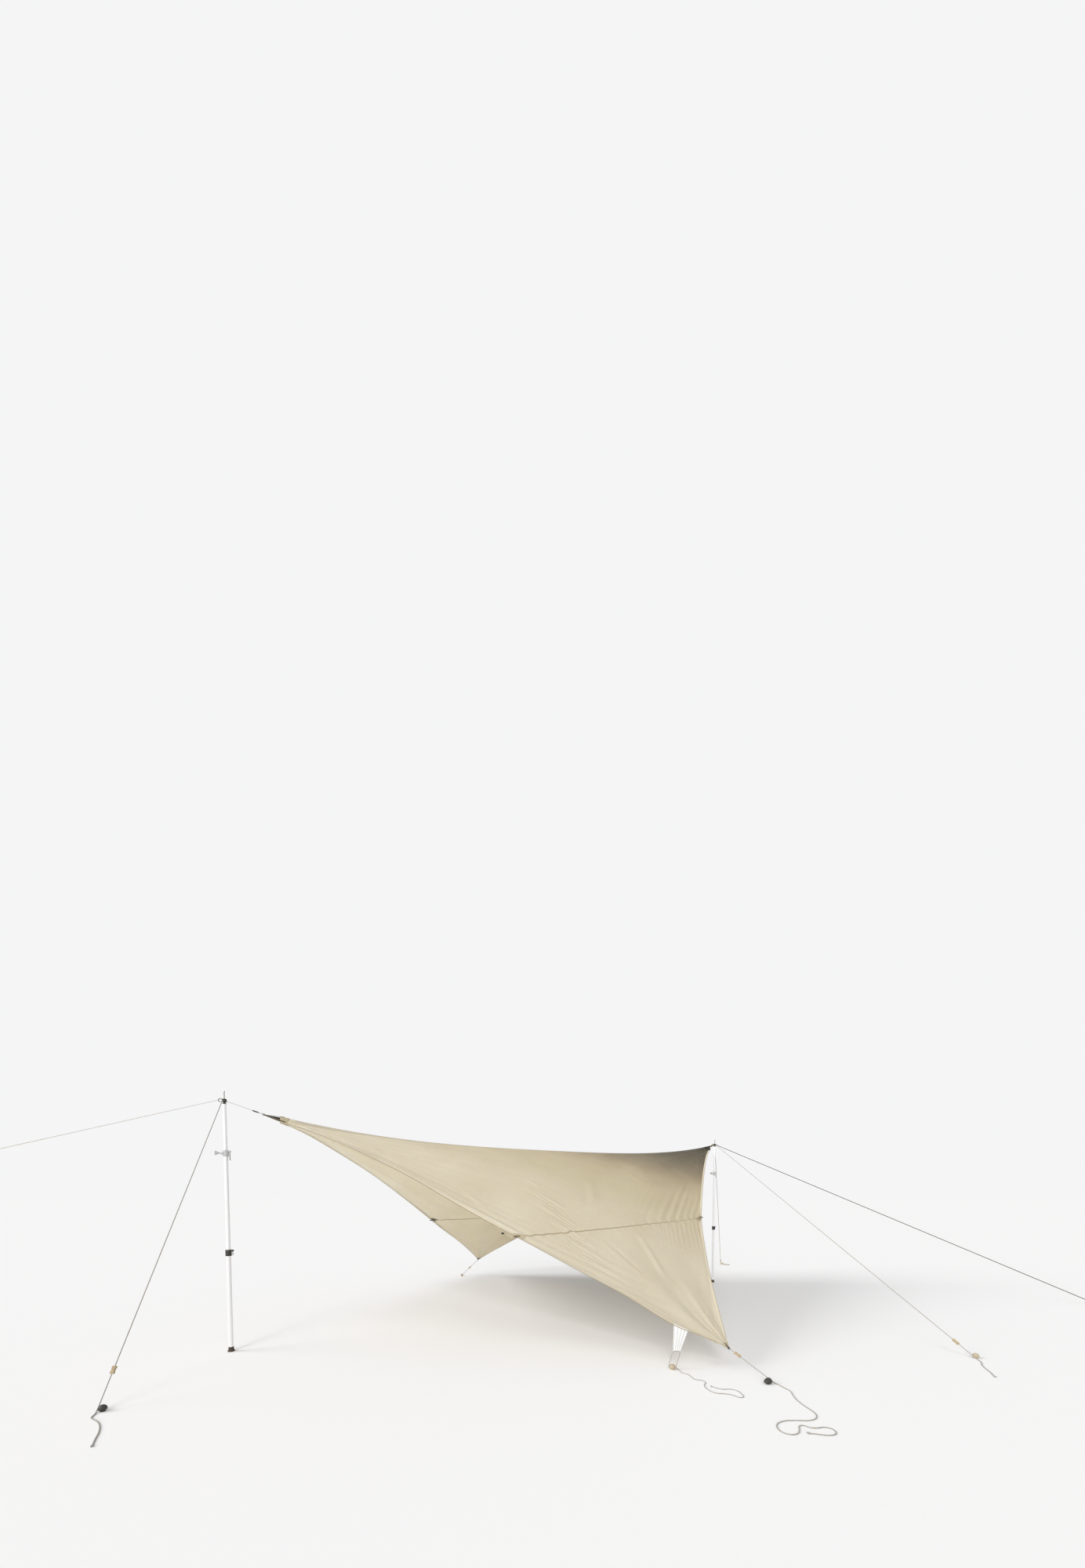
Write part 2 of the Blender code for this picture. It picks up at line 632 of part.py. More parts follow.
def seam_end(wing, end, finish):
    """The small patch over a seam's end, with the flat loop that stands out past the hem."""
    main, low = panel_grid(wing, "main"), panel_grid(wing, "corner")
    outer, inner, low_outer = (0, 1, 0) if end == "near" else (COLUMNS, COLUMNS - 1, CORNER_COLUMNS)
    kite = np.array([[main[-2, outer], main[-1, outer]], [main[-1, inner], low[1, low_outer]]])
    faces = [((0, 0), (0, 1), (1, 0)), ((0, 1), (1, 0), (1, 1))]
    bottom = CLOTH_T / 2 + 2 * GAP
    patch = sheet_solid(f"{wing}_seam_end_{end}", kite, faces, (bottom, bottom + PATCH_T), finish["black"])
    edge = Vector(main[-1, outer])
    along = (Vector(main[-2, outer]) - edge).normalized()
    out = edge - Vector(main[-1, inner])
    out = (out - out.dot(along) * along).normalized()
    centre = edge + out * (LOOP_R - 0.004)
    points = []
    for lift in (bottom + GAP, bottom + PATCH_T - GAP):
        for radius in (LOOP_R, LOOP_HOLE_R):
            for angle in np.linspace(0, 2 * math.pi, 13)[:-1]:
                place = centre + along * radius * math.cos(angle) + out * radius * math.sin(angle)
                points.append(place + Vector((0, 0, lift)))
    faces = []
    for k in range(12):
        n = (k + 1) % 12
        faces += [[k, n, 12 + n, 12 + k], [24 + k, 24 + n, 36 + n, 36 + k]]
        faces += [[k, n, 24 + n, 24 + k], [12 + k, 12 + n, 36 + n, 36 + k]]
    join_on(patch, add_mesh("loop", points, faces, finish["black"]))


def wing_tip(wing):
    """The middle of the patch's free end, where the wing's line starts."""
    return cloth_point(wing, 0.5, PATCH_END)


# Straps, buckle, loops and the tab
def strap(name, start, end, width, thickness, finish, across=(0, 1, 0)):
    """A flat length of webbing between two points."""
    start, end, across = Vector(start), Vector(end), Vector(across)
    along = (end - start).normalized()
    side = (across - across.dot(along) * along).normalized()
    face = along.cross(side)
    points = []
    for place in (start, end):
        for s, f in ((-1, -1), (1, -1), (1, 1), (-1, 1)):
            points.append(place + side * s * width / 2 + face * f * thickness / 2)
    faces = [[0, 1, 2, 3], [4, 5, 6, 7]] + [[k, (k + 1) % 4, 4 + (k + 1) % 4, 4 + k] for k in range(4)]
    return add_mesh(name, points, faces, finish)


def ridge_gear(finish):
    """The yoke on the near upper corner, its buckle, and the cord that ties it to the pole."""
    a, b = (Vector(end) for end in ridge_ends())
    apex = a + Vector((-YOKE_LENGTH, 0, YOKE_RISE))
    yoke = turned("near_yoke", ((0, -0.003), (YOKE_R, -0.003), (YOKE_R, 0.003), (0, 0.003)),
                  finish["webbing"], apex, sides=16, axis=(0, 1, 0))
    reach = Vector((-2 * GAP, 0, 0))
    half = CLOTH_T / 2
    ends = [a + reach]
    for side, drop in ((-1, 0.92), (1, 0.55)):
        ends.append(a + reach + Vector((0, side * CORNER_SPREAD * drop, -CORNER_HEIGHT * drop)))
    for end in ends:
        flat = (0, 0, 1) if end is ends[0] else (0, 1, 0)
        join_on(yoke, strap("strand", apex, end, STRAND_W, WEBBING_T, finish["webbing"], flat))
    buckle_near = apex + Vector((-BUCKLE_GAP_TO_YOKE, 0, 0.012))
    axis = (Vector((-POLE_SPAN_LENGTH / 2, 0, cap_block_z() + CAP_BLOCK_H / 2)) - buckle_near).normalized()
    join_on(yoke, strap("webbing", apex, buckle_near - axis * GAP, WEBBING_W * 0.8, WEBBING_T,
                        finish["webbing"]))
    buckle = strap("ridge_buckle", buckle_near, buckle_near + axis * BUCKLE_LENGTH, BUCKLE_W, BUCKLE_T,
                   finish["black"])
    edge = buckle.modifiers.new("rounding", "BEVEL")
    edge.width = 0.002
    edge.segments = 1
    for share in (0.3, 0.7):
        middle = buckle_near + axis * BUCKLE_LENGTH * share
        slot = strap("slot", middle - axis * BUCKLE_SLOT / 2, middle + axis * BUCKLE_SLOT / 2,
                     BUCKLE_W - 0.010, BUCKLE_T * 3, finish["black"])
        join_on(buckle, slot, "DIFFERENCE")
    start = buckle_near + axis * (BUCKLE_LENGTH + GAP)
    stop = Vector((-POLE_SPAN_LENGTH / 2 + CAP_R + 0.0014, 0, 0))
    stop.z = start.z + axis.z / axis.x * (stop.x - start.x)
    cord("ridge_cord", [start, lerp(start, stop, 0.33), lerp(start, stop, 0.67), stop], LINE_R,
         finish["webbing"])
    half = WEBBING_W / 2
    start = (b.x + 2 * GAP, b.z - 0.010)
    stop = (POLE_SPAN_LENGTH / 2 - CAP_R - 2 * GAP, cap_block_z() + CAP_R)
    outline = [(start[0], start[1] - half), (stop[0], stop[1] - half), (stop[0], stop[1] + half),
               (start[0], start[1] + half)]
    extruded("far_strap", outline, WEBBING_T, finish["webbing"])


def hem_point(v):
    """A point on the near wing's pole hem, on the straight runs between the panel's rows."""
    rows = panel_rows("near", "corner")
    edge = panel_grid("near", "corner")[:, 0]
    return Vector([np.interp(v, rows, edge[:, k]) for k in range(3)])


def tab_corners():
    """The tab's outline: three points under the hem, and its two lower corners."""
    a, _ = ridge_ends()
    length = np.linalg.norm(np.array(WINGS["near"]["corner"]) - a)
    centre = panel_rows("near", "corner")[TAB_ROW]
    shares = [centre + side * TAB_TOP_W / 2 / length for side in (-1, 0, 1)]
    top = [hem_point(share) - Vector((0, 0, CLOTH_T / 2 + GAP)) for share in shares]
    level = top[2] - top[0]
    level.z = 0
    level.normalize()
    middle = lerp(top[1], Vector((*PEGS["tab"], 0)), TAB_LEAN)
    middle.z = top[1].z - TAB_DROP
    return top, [middle + level * side * TAB_BOTTOM_W / 2 for side in (-1, 0, 1)], level


def tension_tab(finish):
    """The tapered panel that pulls the hem down, and the cord from its foot to the peg."""
    top, bottom, level = tab_corners()
    way = Vector((level.y, -level.x, 0)) * TAB_T / 2
    points = []
    for side in (-1, 1):
        for step in (0, 0.5, 1):
            points += [lerp(t, b, step) + way * side for t, b in zip(top, bottom)]
    faces = []
    for layer in (0, 9):
        for row in (0, 3):
            for k in (0, 1):
                first = layer + row + k
                faces.append([first, first + 1, first + 4, first + 3])
    rim = [0, 1, 2, 5, 8, 7, 6, 3]
    faces += [[p, q, q + 9, p + 9] for p, q in zip(rim, rim[1:] + rim[:1])]
    add_mesh("tension_tab", points, faces, finish["white"])

    peg = Vector((*PEGS["tab"], PEG_AIM_Z))
    under = Vector((0, 0, -TAB_CORD_R - 2 * GAP))
    left, right = bottom[0] + under, bottom[2] + under
    dip = Vector((0, 0, -0.0015))

    def route(offset):
        start, stop = peg - level * (PEG_R + 2 * TAB_CORD_R), peg + level * offset
        return laid([start, lerp(start, left, 0.5), lerp(start, left, 0.9) + dip,
                     lerp(left, right, 0.2) + dip / 3, lerp(left, right, 0.5),
                     lerp(left, right, 0.8) + dip / 3, lerp(right, stop, 0.1) + dip,
                     lerp(right, stop, 0.5), stop, *(Vector((x, y, 0)) for x, y in TAB_TAIL)],
                    TAB_CORD_R, 0.014)

    report_cord("tab_cord", route(beside_peg("tab", TAB_CORD_R, route)), TAB_CORD_R, finish["rope"])


# Guy lines
def cap_start(x, towards, radius):
    """Where a line leaves the cap's block, its end cut square to the line."""
    top = Vector((x, 0, LINE_TOP_Z))
    way = (Vector(towards) - top).normalized()
    flat = Vector((way.x, way.y, 0))
    out = CAP_R + radius * abs(way.z) + 2 * GAP
    return top + flat.normalized() * out


def peg_profile():
    """The peg above the ground: a neck under a domed head, as (radius, height) points."""
    return ((0, 0), (PEG_NECK_R, 0), (PEG_NECK_R, 0.007), (PEG_R * 0.93, 0.011), (PEG_R, 0.018),
            (PEG_R * 0.9, 0.027), (PEG_R * 0.62, 0.0355), (0, PEG_H))


def peg_clearance(route, peg, radius):
    """The least space between a cord and a peg's many-sided head, or -1 if they meet."""
    x, y = PEGS[peg]
    fine = np.vstack([lerp(p, q, np.linspace(0, 1, 9)[:, None]) for p, q in zip(route[:-1], route[1:])])
    step = 2 * math.pi / PEG_SIDES
    turn = np.arctan2(fine[:, 1] - y, fine[:, 0] - x) % step - step / 2
    out = np.hypot(fine[:, 0] - x, fine[:, 1] - y)
    shrink = math.cos(step / 2) / np.cos(turn)
    radii, heights = np.array(peg_profile()[1:]).T
    if (out < np.interp(fine[:, 2], heights, radii, right=0) * shrink).any():
        return -1
    least = 1.0
    for (r0, z0), (r1, z1) in zip(peg_profile(), peg_profile()[1:]):
        dr, dz = (r1 - r0) * shrink, z1 - z0
        share = ((out - r0 * shrink) * dr + (fine[:, 2] - z0) * dz) / (dr * dr + dz * dz + 1e-12)
        share = np.clip(share, 0, 1)
        least = min(least, np.hypot(out - r0 * shrink - share * dr, fine[:, 2] - z0 - share * dz).min())
    return least - radius


def beside_peg(peg, radius, make_route):
    """Brings a cord's route up to a peg's head, so that it just touches it."""
    low, high = PEG_R * 0.6, PEG_R + radius + 0.012
    for _ in range(14):
        middle = (low + high) / 2
        if peg_clearance(make_route(middle), peg, radius) > GAP:
            high = middle
        else:
            low = middle
    return high


def peg_end(peg, start, side, offset):
    """Where a line stops at a peg's head, or passes beside it."""
    aim = Vector((*PEGS[peg], PEG_AIM_Z))
    way = (aim - Vector(start)).normalized()
    if not side:
        return aim - way * offset
    return aim + Vector((-way.y, way.x, 0)).normalized() * side * offset


def past_peg(name, start, stop, radius):
    """The line's lower end: straight to the peg's side, then along the ground."""
    before = stop + (start - stop).normalized() * 0.03
    return laid([before, stop, *(Vector((x, y, 0)) for x, y in LINE_TAILS[name][1])], radius, 0.018)


def settle(name, peg, start, radius):
    """The end of a line's straight run, brought up to its peg."""
    side, _ = LINE_TAILS.get(name, (0, None))

    def route(offset):
        stop = peg_end(peg, start, side, offset)
        if side:
            return past_peg(name, start, stop, radius)
        way = (stop - start).normalized()
        across = Vector((-way.y, way.x, 0)).normalized()
        return np.array([stop + (across * math.cos(a) + way.cross(across) * math.sin(a)) * radius
                         for a in np.linspace(0, 2 * math.pi, 13)])

    return peg_end(peg, start, side, beside_peg(peg, radius if side else 0, route))


def line_ends():
    """Start, end and radius of each taut line."""
    half = POLE_SPAN_LENGTH / 2
    ends = {}
    for name, x, radius in (("near_side_line", -half, LINE_R), ("far_back_line", half, LINE_R),
                            ("far_front_line", half, LINE_R), ("far_long_line", half, LONG_LINE_R)):
        peg = name.removesuffix("_line")
        start = cap_start(x, (*PEGS[peg], PEG_AIM_Z), radius)
        ends[name] = (start, settle(name, peg, start, radius), radius)
    for wing in WINGS:
        tip, aim = Vector(wing_tip(wing)), Vector((*PEGS[f"{wing}_wing"], PEG_AIM_Z))
        way = (aim - tip).normalized()
        start = tip + Vector((0, math.copysign(2 * GAP + LINE_R * math.sqrt(1 - way.y**2), tip.y), 0))
        stop = settle(f"{wing}_wing_line", f"{wing}_wing", start, LINE_R)
        ends[f"{wing}_wing_line"] = (start, stop, LINE_R)
    ring = Vector((-half - CAP_R - 2 * RING_R, 0, cap_block_z() + CAP_BLOCK_H / 2))
    stop = Vector(OUTER_LINE_END)
    start = ring + (stop - ring).normalized() * 2 * GAP
    ends["near_outer_line"] = (start, stop, LINE_R)
    return ends


SLIDERS = {
    "near_side_slider": ("near_side_line", 0.905),
    "far_back_slider": ("far_back_line", 0.970),
    "far_front_slider": ("far_front_line", 0.962),
    "near_wing_slider": ("near_wing_line", 0.24),
    "far_wing_slider": ("far_wing_line", 0.55),
}


def slider(name, place, way, finish):
    """A line tensioner: a waisted plate bored lengthwise for its line, with a cross slot."""
    half, side = SLIDER_LENGTH / 2, SLIDER_W / 2
    end, waist, shoulder = side * SLIDER_END_SHARE, side * SLIDER_WAIST_SHARE, half * SLIDER_END_SHARE
    outline = [(-half, -end), (-shoulder, -side), (0, -waist), (shoulder, -side), (half, -end), (half, end),
               (shoulder, side), (0, waist), (-shoulder, side), (-half, end)]
    made = extruded(name, outline, SLIDER_T, finish, place)
    bore = turned("bore", ((SLIDER_BORE_R, -SLIDER_LENGTH), (SLIDER_BORE_R, SLIDER_LENGTH)), finish, place,
                  sides=12, axis=(1, 0, 0))
    turn = Vector((1, 0, 0)).rotation_difference(way)
    for piece in (made, bore):
        piece.rotation_mode = "QUATERNION"
        piece.rotation_quaternion = turn
    join_on(made, bore, "DIFFERENCE")
    return made


def lines(finish):
    """The taut lines with their tails, and their tensioners."""
    ends = line_ends()
    for name, (start, stop, radius) in ends.items():
        run = [lerp(start, stop, share) for share in (0, 0.25, 0.5, 0.75)]
        if name in LINE_TAILS:
            run = np.vstack([run, past_peg(name, start, stop, radius)])
        elif name == "near_outer_line":
            way = (stop - start).normalized()
            up = Vector((way.z, 0, -way.x))
            centre = stop + way * EYE_R
            eye = [centre + (up * math.sin(a) - way * math.cos(a)) * EYE_R
                   for a in np.radians(np.linspace(40, 325, 8))]
            bend = smooth_through([lerp(start, stop, 0.97), stop - way * 0.012, *eye], 0.008)
            run = np.vstack([run, bend])
        else:
            run.append(stop)
        look = finish["dark_rope"] if name == "far_long_line" else finish["rope"]
        report_cord(name, np.array(run), radius, look)
    for name, (line, share) in SLIDERS.items():
        start, stop, _ = ends[line]
        look = finish["black"] if name == "near_side_slider" else finish["webbing"]
        slider(name, lerp(start, stop, share), (stop - start).normalized(), look)


def ground_pegs(finish):
    """The part of each peg that stands above the ground."""
    for name, (x, y) in PEGS.items():
        turned(f"{name}_peg", peg_profile(), finish["beige"], (x, y, 0), sides=PEG_SIDES)


# Free rope
def laid(guide, radius, spacing):
    """A rope's route through guide points, never below the ground.

    Where it crosses itself it climbs over in a long low hump.
    """
    route = smooth_through([tuple(point) for point in guide], spacing)
    floor = radius + 0.0001
    clear = 2 * radius + 0.0016
    height = np.zeros(len(route))
    for i in range(8, len(route)):
        near = np.linalg.norm(route[:i - 7] - route[i], axis=1).min()
        height[i] = clear * np.clip(2.2 - near / (1.7 * radius + spacing * 0.5), 0, 1)
    for _ in range(2):
        height = np.maximum(height, np.convolve(np.pad(height, 1, mode="edge"), (0.25, 0.5, 0.25), "valid"))
    route[:, 2] = np.maximum(route[:, 2], floor) + height
    return route


def least_gap(route, radius):
    """The least space between a cord's own stretches, measured along its centre."""
    fine = np.vstack([lerp(p, q, np.linspace(0, 1, 6)[:, None]) for p, q in zip(route[:-1], route[1:])])
    along = np.concatenate([[0], np.cumsum(np.linalg.norm(np.diff(fine, axis=0), axis=1))])
    least = 1.0
    for i in range(len(fine)):
        later = fine[along > along[i] + 12 * radius]
        if len(later):
            least = min(least, np.linalg.norm(later - fine[i], axis=1).min())
    return least - 2 * radius


def report_cord(name, route, radius, finish):
    """Makes a cord, and prints its length and its least gap to itself."""
    length = np.linalg.norm(np.diff(route, axis=0), axis=1).sum()
    gap = 1000 * least_gap(route, radius)
    print(f"{name}: {length:.3f} m, {len(route)} points, least gap to itself {gap:.2f} mm")
    cord(name, route, radius, finish)


def build():
    for left in list(bpy.data.objects):
        bpy.data.objects.remove(left)
    finish = finishes()
    pole("near", -POLE_SPAN_LENGTH / 2, finish)
    pole("far", POLE_SPAN_LENGTH / 2, finish)
    canopy(finish)
    ridge_gear(finish)
    tension_tab(finish)
    lines(finish)
    ground_pegs(finish)


build()
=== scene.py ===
"""Dresses the pitched tarp: its cloth, hems, patches, webbing, ropes, poles, fittings and pegs.

Metres, +Z up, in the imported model's frame: +X runs along the ridge and +Y to the far wing.
"""

import bmesh
import bpy
import numpy as np
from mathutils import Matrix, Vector


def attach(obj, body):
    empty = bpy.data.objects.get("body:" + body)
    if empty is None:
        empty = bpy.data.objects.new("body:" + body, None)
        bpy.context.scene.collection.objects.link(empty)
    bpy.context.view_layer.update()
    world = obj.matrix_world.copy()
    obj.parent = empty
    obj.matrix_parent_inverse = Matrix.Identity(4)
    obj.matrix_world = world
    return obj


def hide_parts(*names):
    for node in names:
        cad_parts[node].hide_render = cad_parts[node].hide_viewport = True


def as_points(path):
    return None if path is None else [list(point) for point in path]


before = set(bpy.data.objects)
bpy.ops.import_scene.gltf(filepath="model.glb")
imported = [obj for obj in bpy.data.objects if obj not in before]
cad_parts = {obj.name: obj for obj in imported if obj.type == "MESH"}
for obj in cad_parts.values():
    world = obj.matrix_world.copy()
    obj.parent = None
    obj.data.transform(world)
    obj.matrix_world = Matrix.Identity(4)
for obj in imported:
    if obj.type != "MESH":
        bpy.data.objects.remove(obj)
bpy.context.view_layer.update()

TURN = 2 * np.pi
UP, ACROSS = np.array([0.0, 0, 1]), np.array([0, 1.0, 0])
GAP = 0.0003

# Poles, as in the part's source
NEAR_X, FAR_X = -2.96, 2.96
LOWER_R, MIDDLE_R, UPPER_R = 0.016, 0.0144, 0.0128
WALL = 0.0013
LOWER_JOINT_Z, UPPER_JOINT_Z, TUBE_TOP_Z = 0.81, 1.615, 2.008
OVERLAP = 0.085
CAP_BLOCK_Z, CAP_BLOCK_H, CAP_R, RING_R = 2.0233, 0.025, 0.0165, 0.0125
COLLAR_WALL, PIN_OUT, PIN_UP = 0.0063, 0.0085, 0.017

# Cloth: the ridge's ends, and each wing's corner, seam and hems
RIDGE_A = np.array([-2.578, 0, 1.944])
RIDGE_B = np.array([2.850, 0, 2.012])
SAG, FULLNESS, FADE = 0.178, 3.0, 4.0
CORNER_CUT, CORNER_HEIGHT, CORNER_SPREAD = 0.02, 0.056, 0.028
CORNERS = {1: np.array([0.197, -2.347, 0.159]), -1: np.array([0.161, 2.277, 0.264])}
SEAMS = {1: 0.56, -1: 0.60}
WINGS = (1, "near"), (-1, "far")
POLE_HEMS = {
    1: ((0, 0), (0.12, 0.030), (0.25, 0.046), (0.42, 0.028), (0.60, 0.006), (0.78, -0.020), (0.888, -0.067),
        (0.945, -0.040), (1, 0)),
    -1: ((0, 0), (0.15, 0.036), (0.30, 0.066), (0.50, 0.074), (0.70, 0.065), (0.85, 0.040), (1, 0)),
}
OPEN_HEMS = {
    1: ((0, 0), (0.12, 0.062), (0.26, 0.112), (0.43, 0.155), (0.57, 0.176), (0.70, 0.150), (0.82, 0.108),
        (0.91, 0.058), (1, 0)),
    -1: ((0, 0), (0.15, 0.055), (0.30, 0.090), (0.50, 0.105), (0.70, 0.090), (0.85, 0.055), (1, 0)),
}
RIDGE_LENGTH, WING_REACH, HEM_LENGTH, SEAM_LENGTH = 5.43, 2.9, 3.4, 2.4
CLOTH_END = 0.994
TAB_FOOT = np.array([-0.1273, -2.1485, 0.1406])
LINE_R, PLAIT = 0.003, 0.0085
LAMP_COLOUR = (1, 0.995, 0.985)

# Creases in the wings: two ends as (t, v), width and height in metres
NEAR_CREASES = (
    ((0.40, 0.10), (0.47, 0.20), 0.040, 0.009), ((0.60, 0.12), (0.70, 0.27), 0.036, 0.011),
    ((0.68, 0.26), (0.76, 0.36), 0.030, 0.012), ((0.08, 0.12), (0.02, 0.20), 0.022, 0.007),
    ((0.52, 0.30), (0.46, 0.44), 0.050, 0.008), ((0.56, 0.60), (0.50, 0.78), 0.030, 0.009),
    ((0.35, 0.60), (0.36, 0.76), 0.028, -0.007), ((0.10, 0.34), (0.06, 0.46), 0.026, 0.008),
    ((0.28, 0.33), (0.34, 0.46), 0.026, 0.009), ((0.25, 0.42), (0.30, 0.54), 0.024, 0.010),
    ((0.22, 0.50), (0.27, 0.63), 0.024, 0.010), ((0.18, 0.58), (0.23, 0.70), 0.022, 0.009),
    ((0.14, 0.66), (0.19, 0.78), 0.020, 0.008), ((0.30, 0.26), (0.37, 0.38), 0.028, 0.008),
)
FAR_CREASES = (
    ((0.20, 0.20), (0.45, 0.32), 0.040, 0.008), ((0.55, 0.22), (0.72, 0.36), 0.040, 0.008),
    ((0.30, 0.52), (0.48, 0.66), 0.030, 0.007), ((0.62, 0.50), (0.58, 0.68), 0.030, 0.008),
    ((0.12, 0.44), (0.22, 0.58), 0.028, 0.007), ((0.80, 0.20), (0.86, 0.34), 0.030, 0.006),
)

# Pegs, as in the part's source
PEGS = {
    "near_wing": (0.220, -2.642), "far_wing": (-0.070, 2.400), "far_back": (4.600, 1.095),
    "far_front": (2.070, -3.180), "far_long": (5.600, -3.255), "near_side": (-3.527, -0.875),
    "tab": (-0.150, -2.130),
}


def linear(*levels):
    """A written screen colour, 0 to 255, as linear light."""
    share = np.array(levels) / 255
    return tuple(np.where(share <= 0.04045, share / 12.92, ((share + 0.055) / 1.055) ** 2.4)) + (1.0,)


def normed(vector):
    """A direction of length one, or one for each row."""
    return vector / np.linalg.norm(vector, axis=-1, keepdims=True)


def length_along(path):
    """The length of a path up to each of its points."""
    return np.concatenate([[0], np.cumsum(np.linalg.norm(np.diff(path, axis=0), axis=1))])


def mm(*rows):
    """Points written in millimetres."""
    return np.array(rows, float) / 1000


# ---- Finishes ----
WAVES = 3.18  # Stripes to the metre, where a wave texture's scale is one


class Wire:
    """One output of a node. Arithmetic on it adds maths nodes to its tree."""

    def __init__(self, tree, source, out=0):
        self.tree, self.source, self.out = tree, source, out

    def maths(self, operation, *others):
        return node(self.tree, "Math", dict(enumerate((self, *others))), operation=operation)

    def __add__(self, other):
        return self.maths("ADD", other)

    def __sub__(self, other):
        return self.maths("SUBTRACT", other)

    def __mul__(self, other):
        return self.maths("MULTIPLY", other)

    def __abs__(self):
        return self.maths("ABSOLUTE")

    def ramp(self, low=0.0, high=1.0, bottom=0.0, top=1.0, kind="LINEAR"):
        """The value's place between two marks, as a share, or between two other values."""
        return node(self.tree, "MapRange", {0: self, 1: low, 2: high, 3: bottom, 4: top}, interpolation_type=kind)

    def window(self, *marks):
        """Up from 0 to 1 between the first two marks, and back between the last two."""
        return self.ramp(*marks[:2], kind="SMOOTHSTEP") * self.ramp(*marks[:1:-1], kind="SMOOTHSTEP")

    def parts(self):
        """The x and the y of a vector."""
        split = node(self.tree, "SeparateXYZ", {0: self})
        return split, Wire(self.tree, split.source, 1)

    def mapped(self, **inputs):
        return node(self.tree, "Mapping", {"Vector": self, **inputs})

    def noise(self, scale, detail, rough=0.5):
        inputs = {"Vector": self, "Scale": scale, "Detail": detail, "Roughness": rough}
        return node(self.tree, "TexNoise", inputs, "Fac")

    def speckle(self, scale, detail=3.0):
        """Cloudy noise from 0 to 1, its middle stretched."""
        return self.noise(scale, detail, 0.55).ramp(0.3, 0.7)

    def stripes(self, axis, scale, distortion=0.0):
        """Parallel sine stripes across one axis."""
        return node(self.tree, "TexWave", {"Vector": self, "Scale": scale, "Distortion": distortion}, "Fac",
                    bands_direction=axis)


def node(tree, kind, inputs=(), out=0, **settings):
    """One node, with its settings, and its inputs as values or as wires from other nodes."""
    made = tree.nodes.new("ShaderNode" + kind)
    for name, value in settings.items():
        setattr(made, name, value)
    for name, value in dict(inputs).items():
        if isinstance(value, Wire):
            tree.links.new(value.source.outputs[value.out], made.inputs[name])
        else:
            made.inputs[name].default_value = value
    return Wire(tree, made, out)


class Finish:
    """A material with a Principled shader. It starts from the UV, or from the piece's own place."""

    def __init__(self, name, roughness, metallic=0.0, **sockets):
        self.material = bpy.data.materials.new(name)
        self.material.use_nodes = True
        self.tree = self.material.node_tree
        self.set(Roughness=roughness, Metallic=metallic, **sockets)

    def set(self, **sockets):
        for socket, value in sockets.items():
            self.tree.nodes["Principled BSDF"].inputs[socket.replace("_", " ")].default_value = value

    def uv(self):
        return node(self.tree, "UVMap")

    def place(self):
        return node(self.tree, "TexCoord", out="Object")

    def done(self, tone, height, distance, strength, gloss=None):
        """Joins the colour, the relief and any gloss to the shader, and gives the material."""
        bump = node(self.tree, "Bump", {"Height": height, "Distance": distance, "Strength": strength})
        for socket, wire in (("Base Color", tone), ("Normal", bump), ("Roughness", gloss)):
            if wire is not None:
                self.tree.links.new(wire.source.outputs[wire.out],
                                    self.tree.nodes["Principled BSDF"].inputs[socket])
        return self.material


def mixed(tree, share, low, high, kind="MIX"):
    """A colour between two others."""
    return node(tree, "Mix", {0: share, 6: low, 7: high}, 2, data_type="RGBA", blend_type=kind)


def layered(tone, *layers, kind="MIX"):
    """A tone with a colour mixed in for each layer: its pattern, how much of it, and the colour."""
    for pattern, share, colour in layers:
        tone = mixed(pattern.tree, pattern * share, tone, colour, kind)
    return tone


def worn(tone, colour, dark, *layers):
    """A tone darkened by each layer's pattern, in the ratio of the dark colour to the plain one."""
    ratio = tuple(low / high for low, high in zip(dark, colour))
    return layered(tone, *((pattern, share, ratio) for pattern, share in layers), kind="MULTIPLY")


def crease_field(flat):
    """Fine parallel creases in a band of the near wing: sine stripes, masked by the way from its middle."""
    x, y = flat.parts()
    across = flat.mapped(Rotation=(0, 0, 0.64)).parts()[0] + flat.speckle(4.0) * 0.06
    stripes = (across * (TURN / 0.042)).maths("SINE")
    side = abs(x - y * 0.02 + 0.66).ramp(0.16, 0.05, kind="SMOOTHSTEP")
    return stripes * side * y.ramp(0.80, 1.0) * y.ramp(2.20, 1.9)


def painted_pleat_light_and_shade(x, y):
    """Painted light and shade for the pleats that leave the ridge's near end, and a painted highlight for the rolled
    fold beside the near wing's hem.

    The pleats' painted light and shade is noise of the angle about that end, faded by the way from it.
    The fold's painted highlight is a strip just inside the hem, with a painted shade line along the strip's inner
    side.
    """
    out, down, wing = x + RIDGE_LENGTH / 2, abs(y), y.maths("SIGN")
    place = node(x.tree, "CombineXYZ", {0: down.maths("ARCTAN2", out) * 19.0, 1: wing * 3.3})
    away = (out * out + down * down).maths("SQRT")
    # Painted light and shade of the pleats, stronger on the far wing's underside.
    fan = (place.speckle(1.0, 2.0) - 0.5) * away.ramp(2.6, 0.8) * (wing * -0.09 + 0.15)
    inside = (out - down * (RIDGE_LENGTH / 2 / WING_REACH)) * 0.73
    # Painted highlight in a strip inside the near wing's hem, and a painted shade line beside it.
    light, dark = inside.window(0.004, 0.012, 0.046, 0.062), inside.window(0.048, 0.068, 0.076, 0.110)
    return fan + (light * 0.17 - dark * 0.09) * y.window(0.02, 0.12, 1.45, 1.75) + 1.0


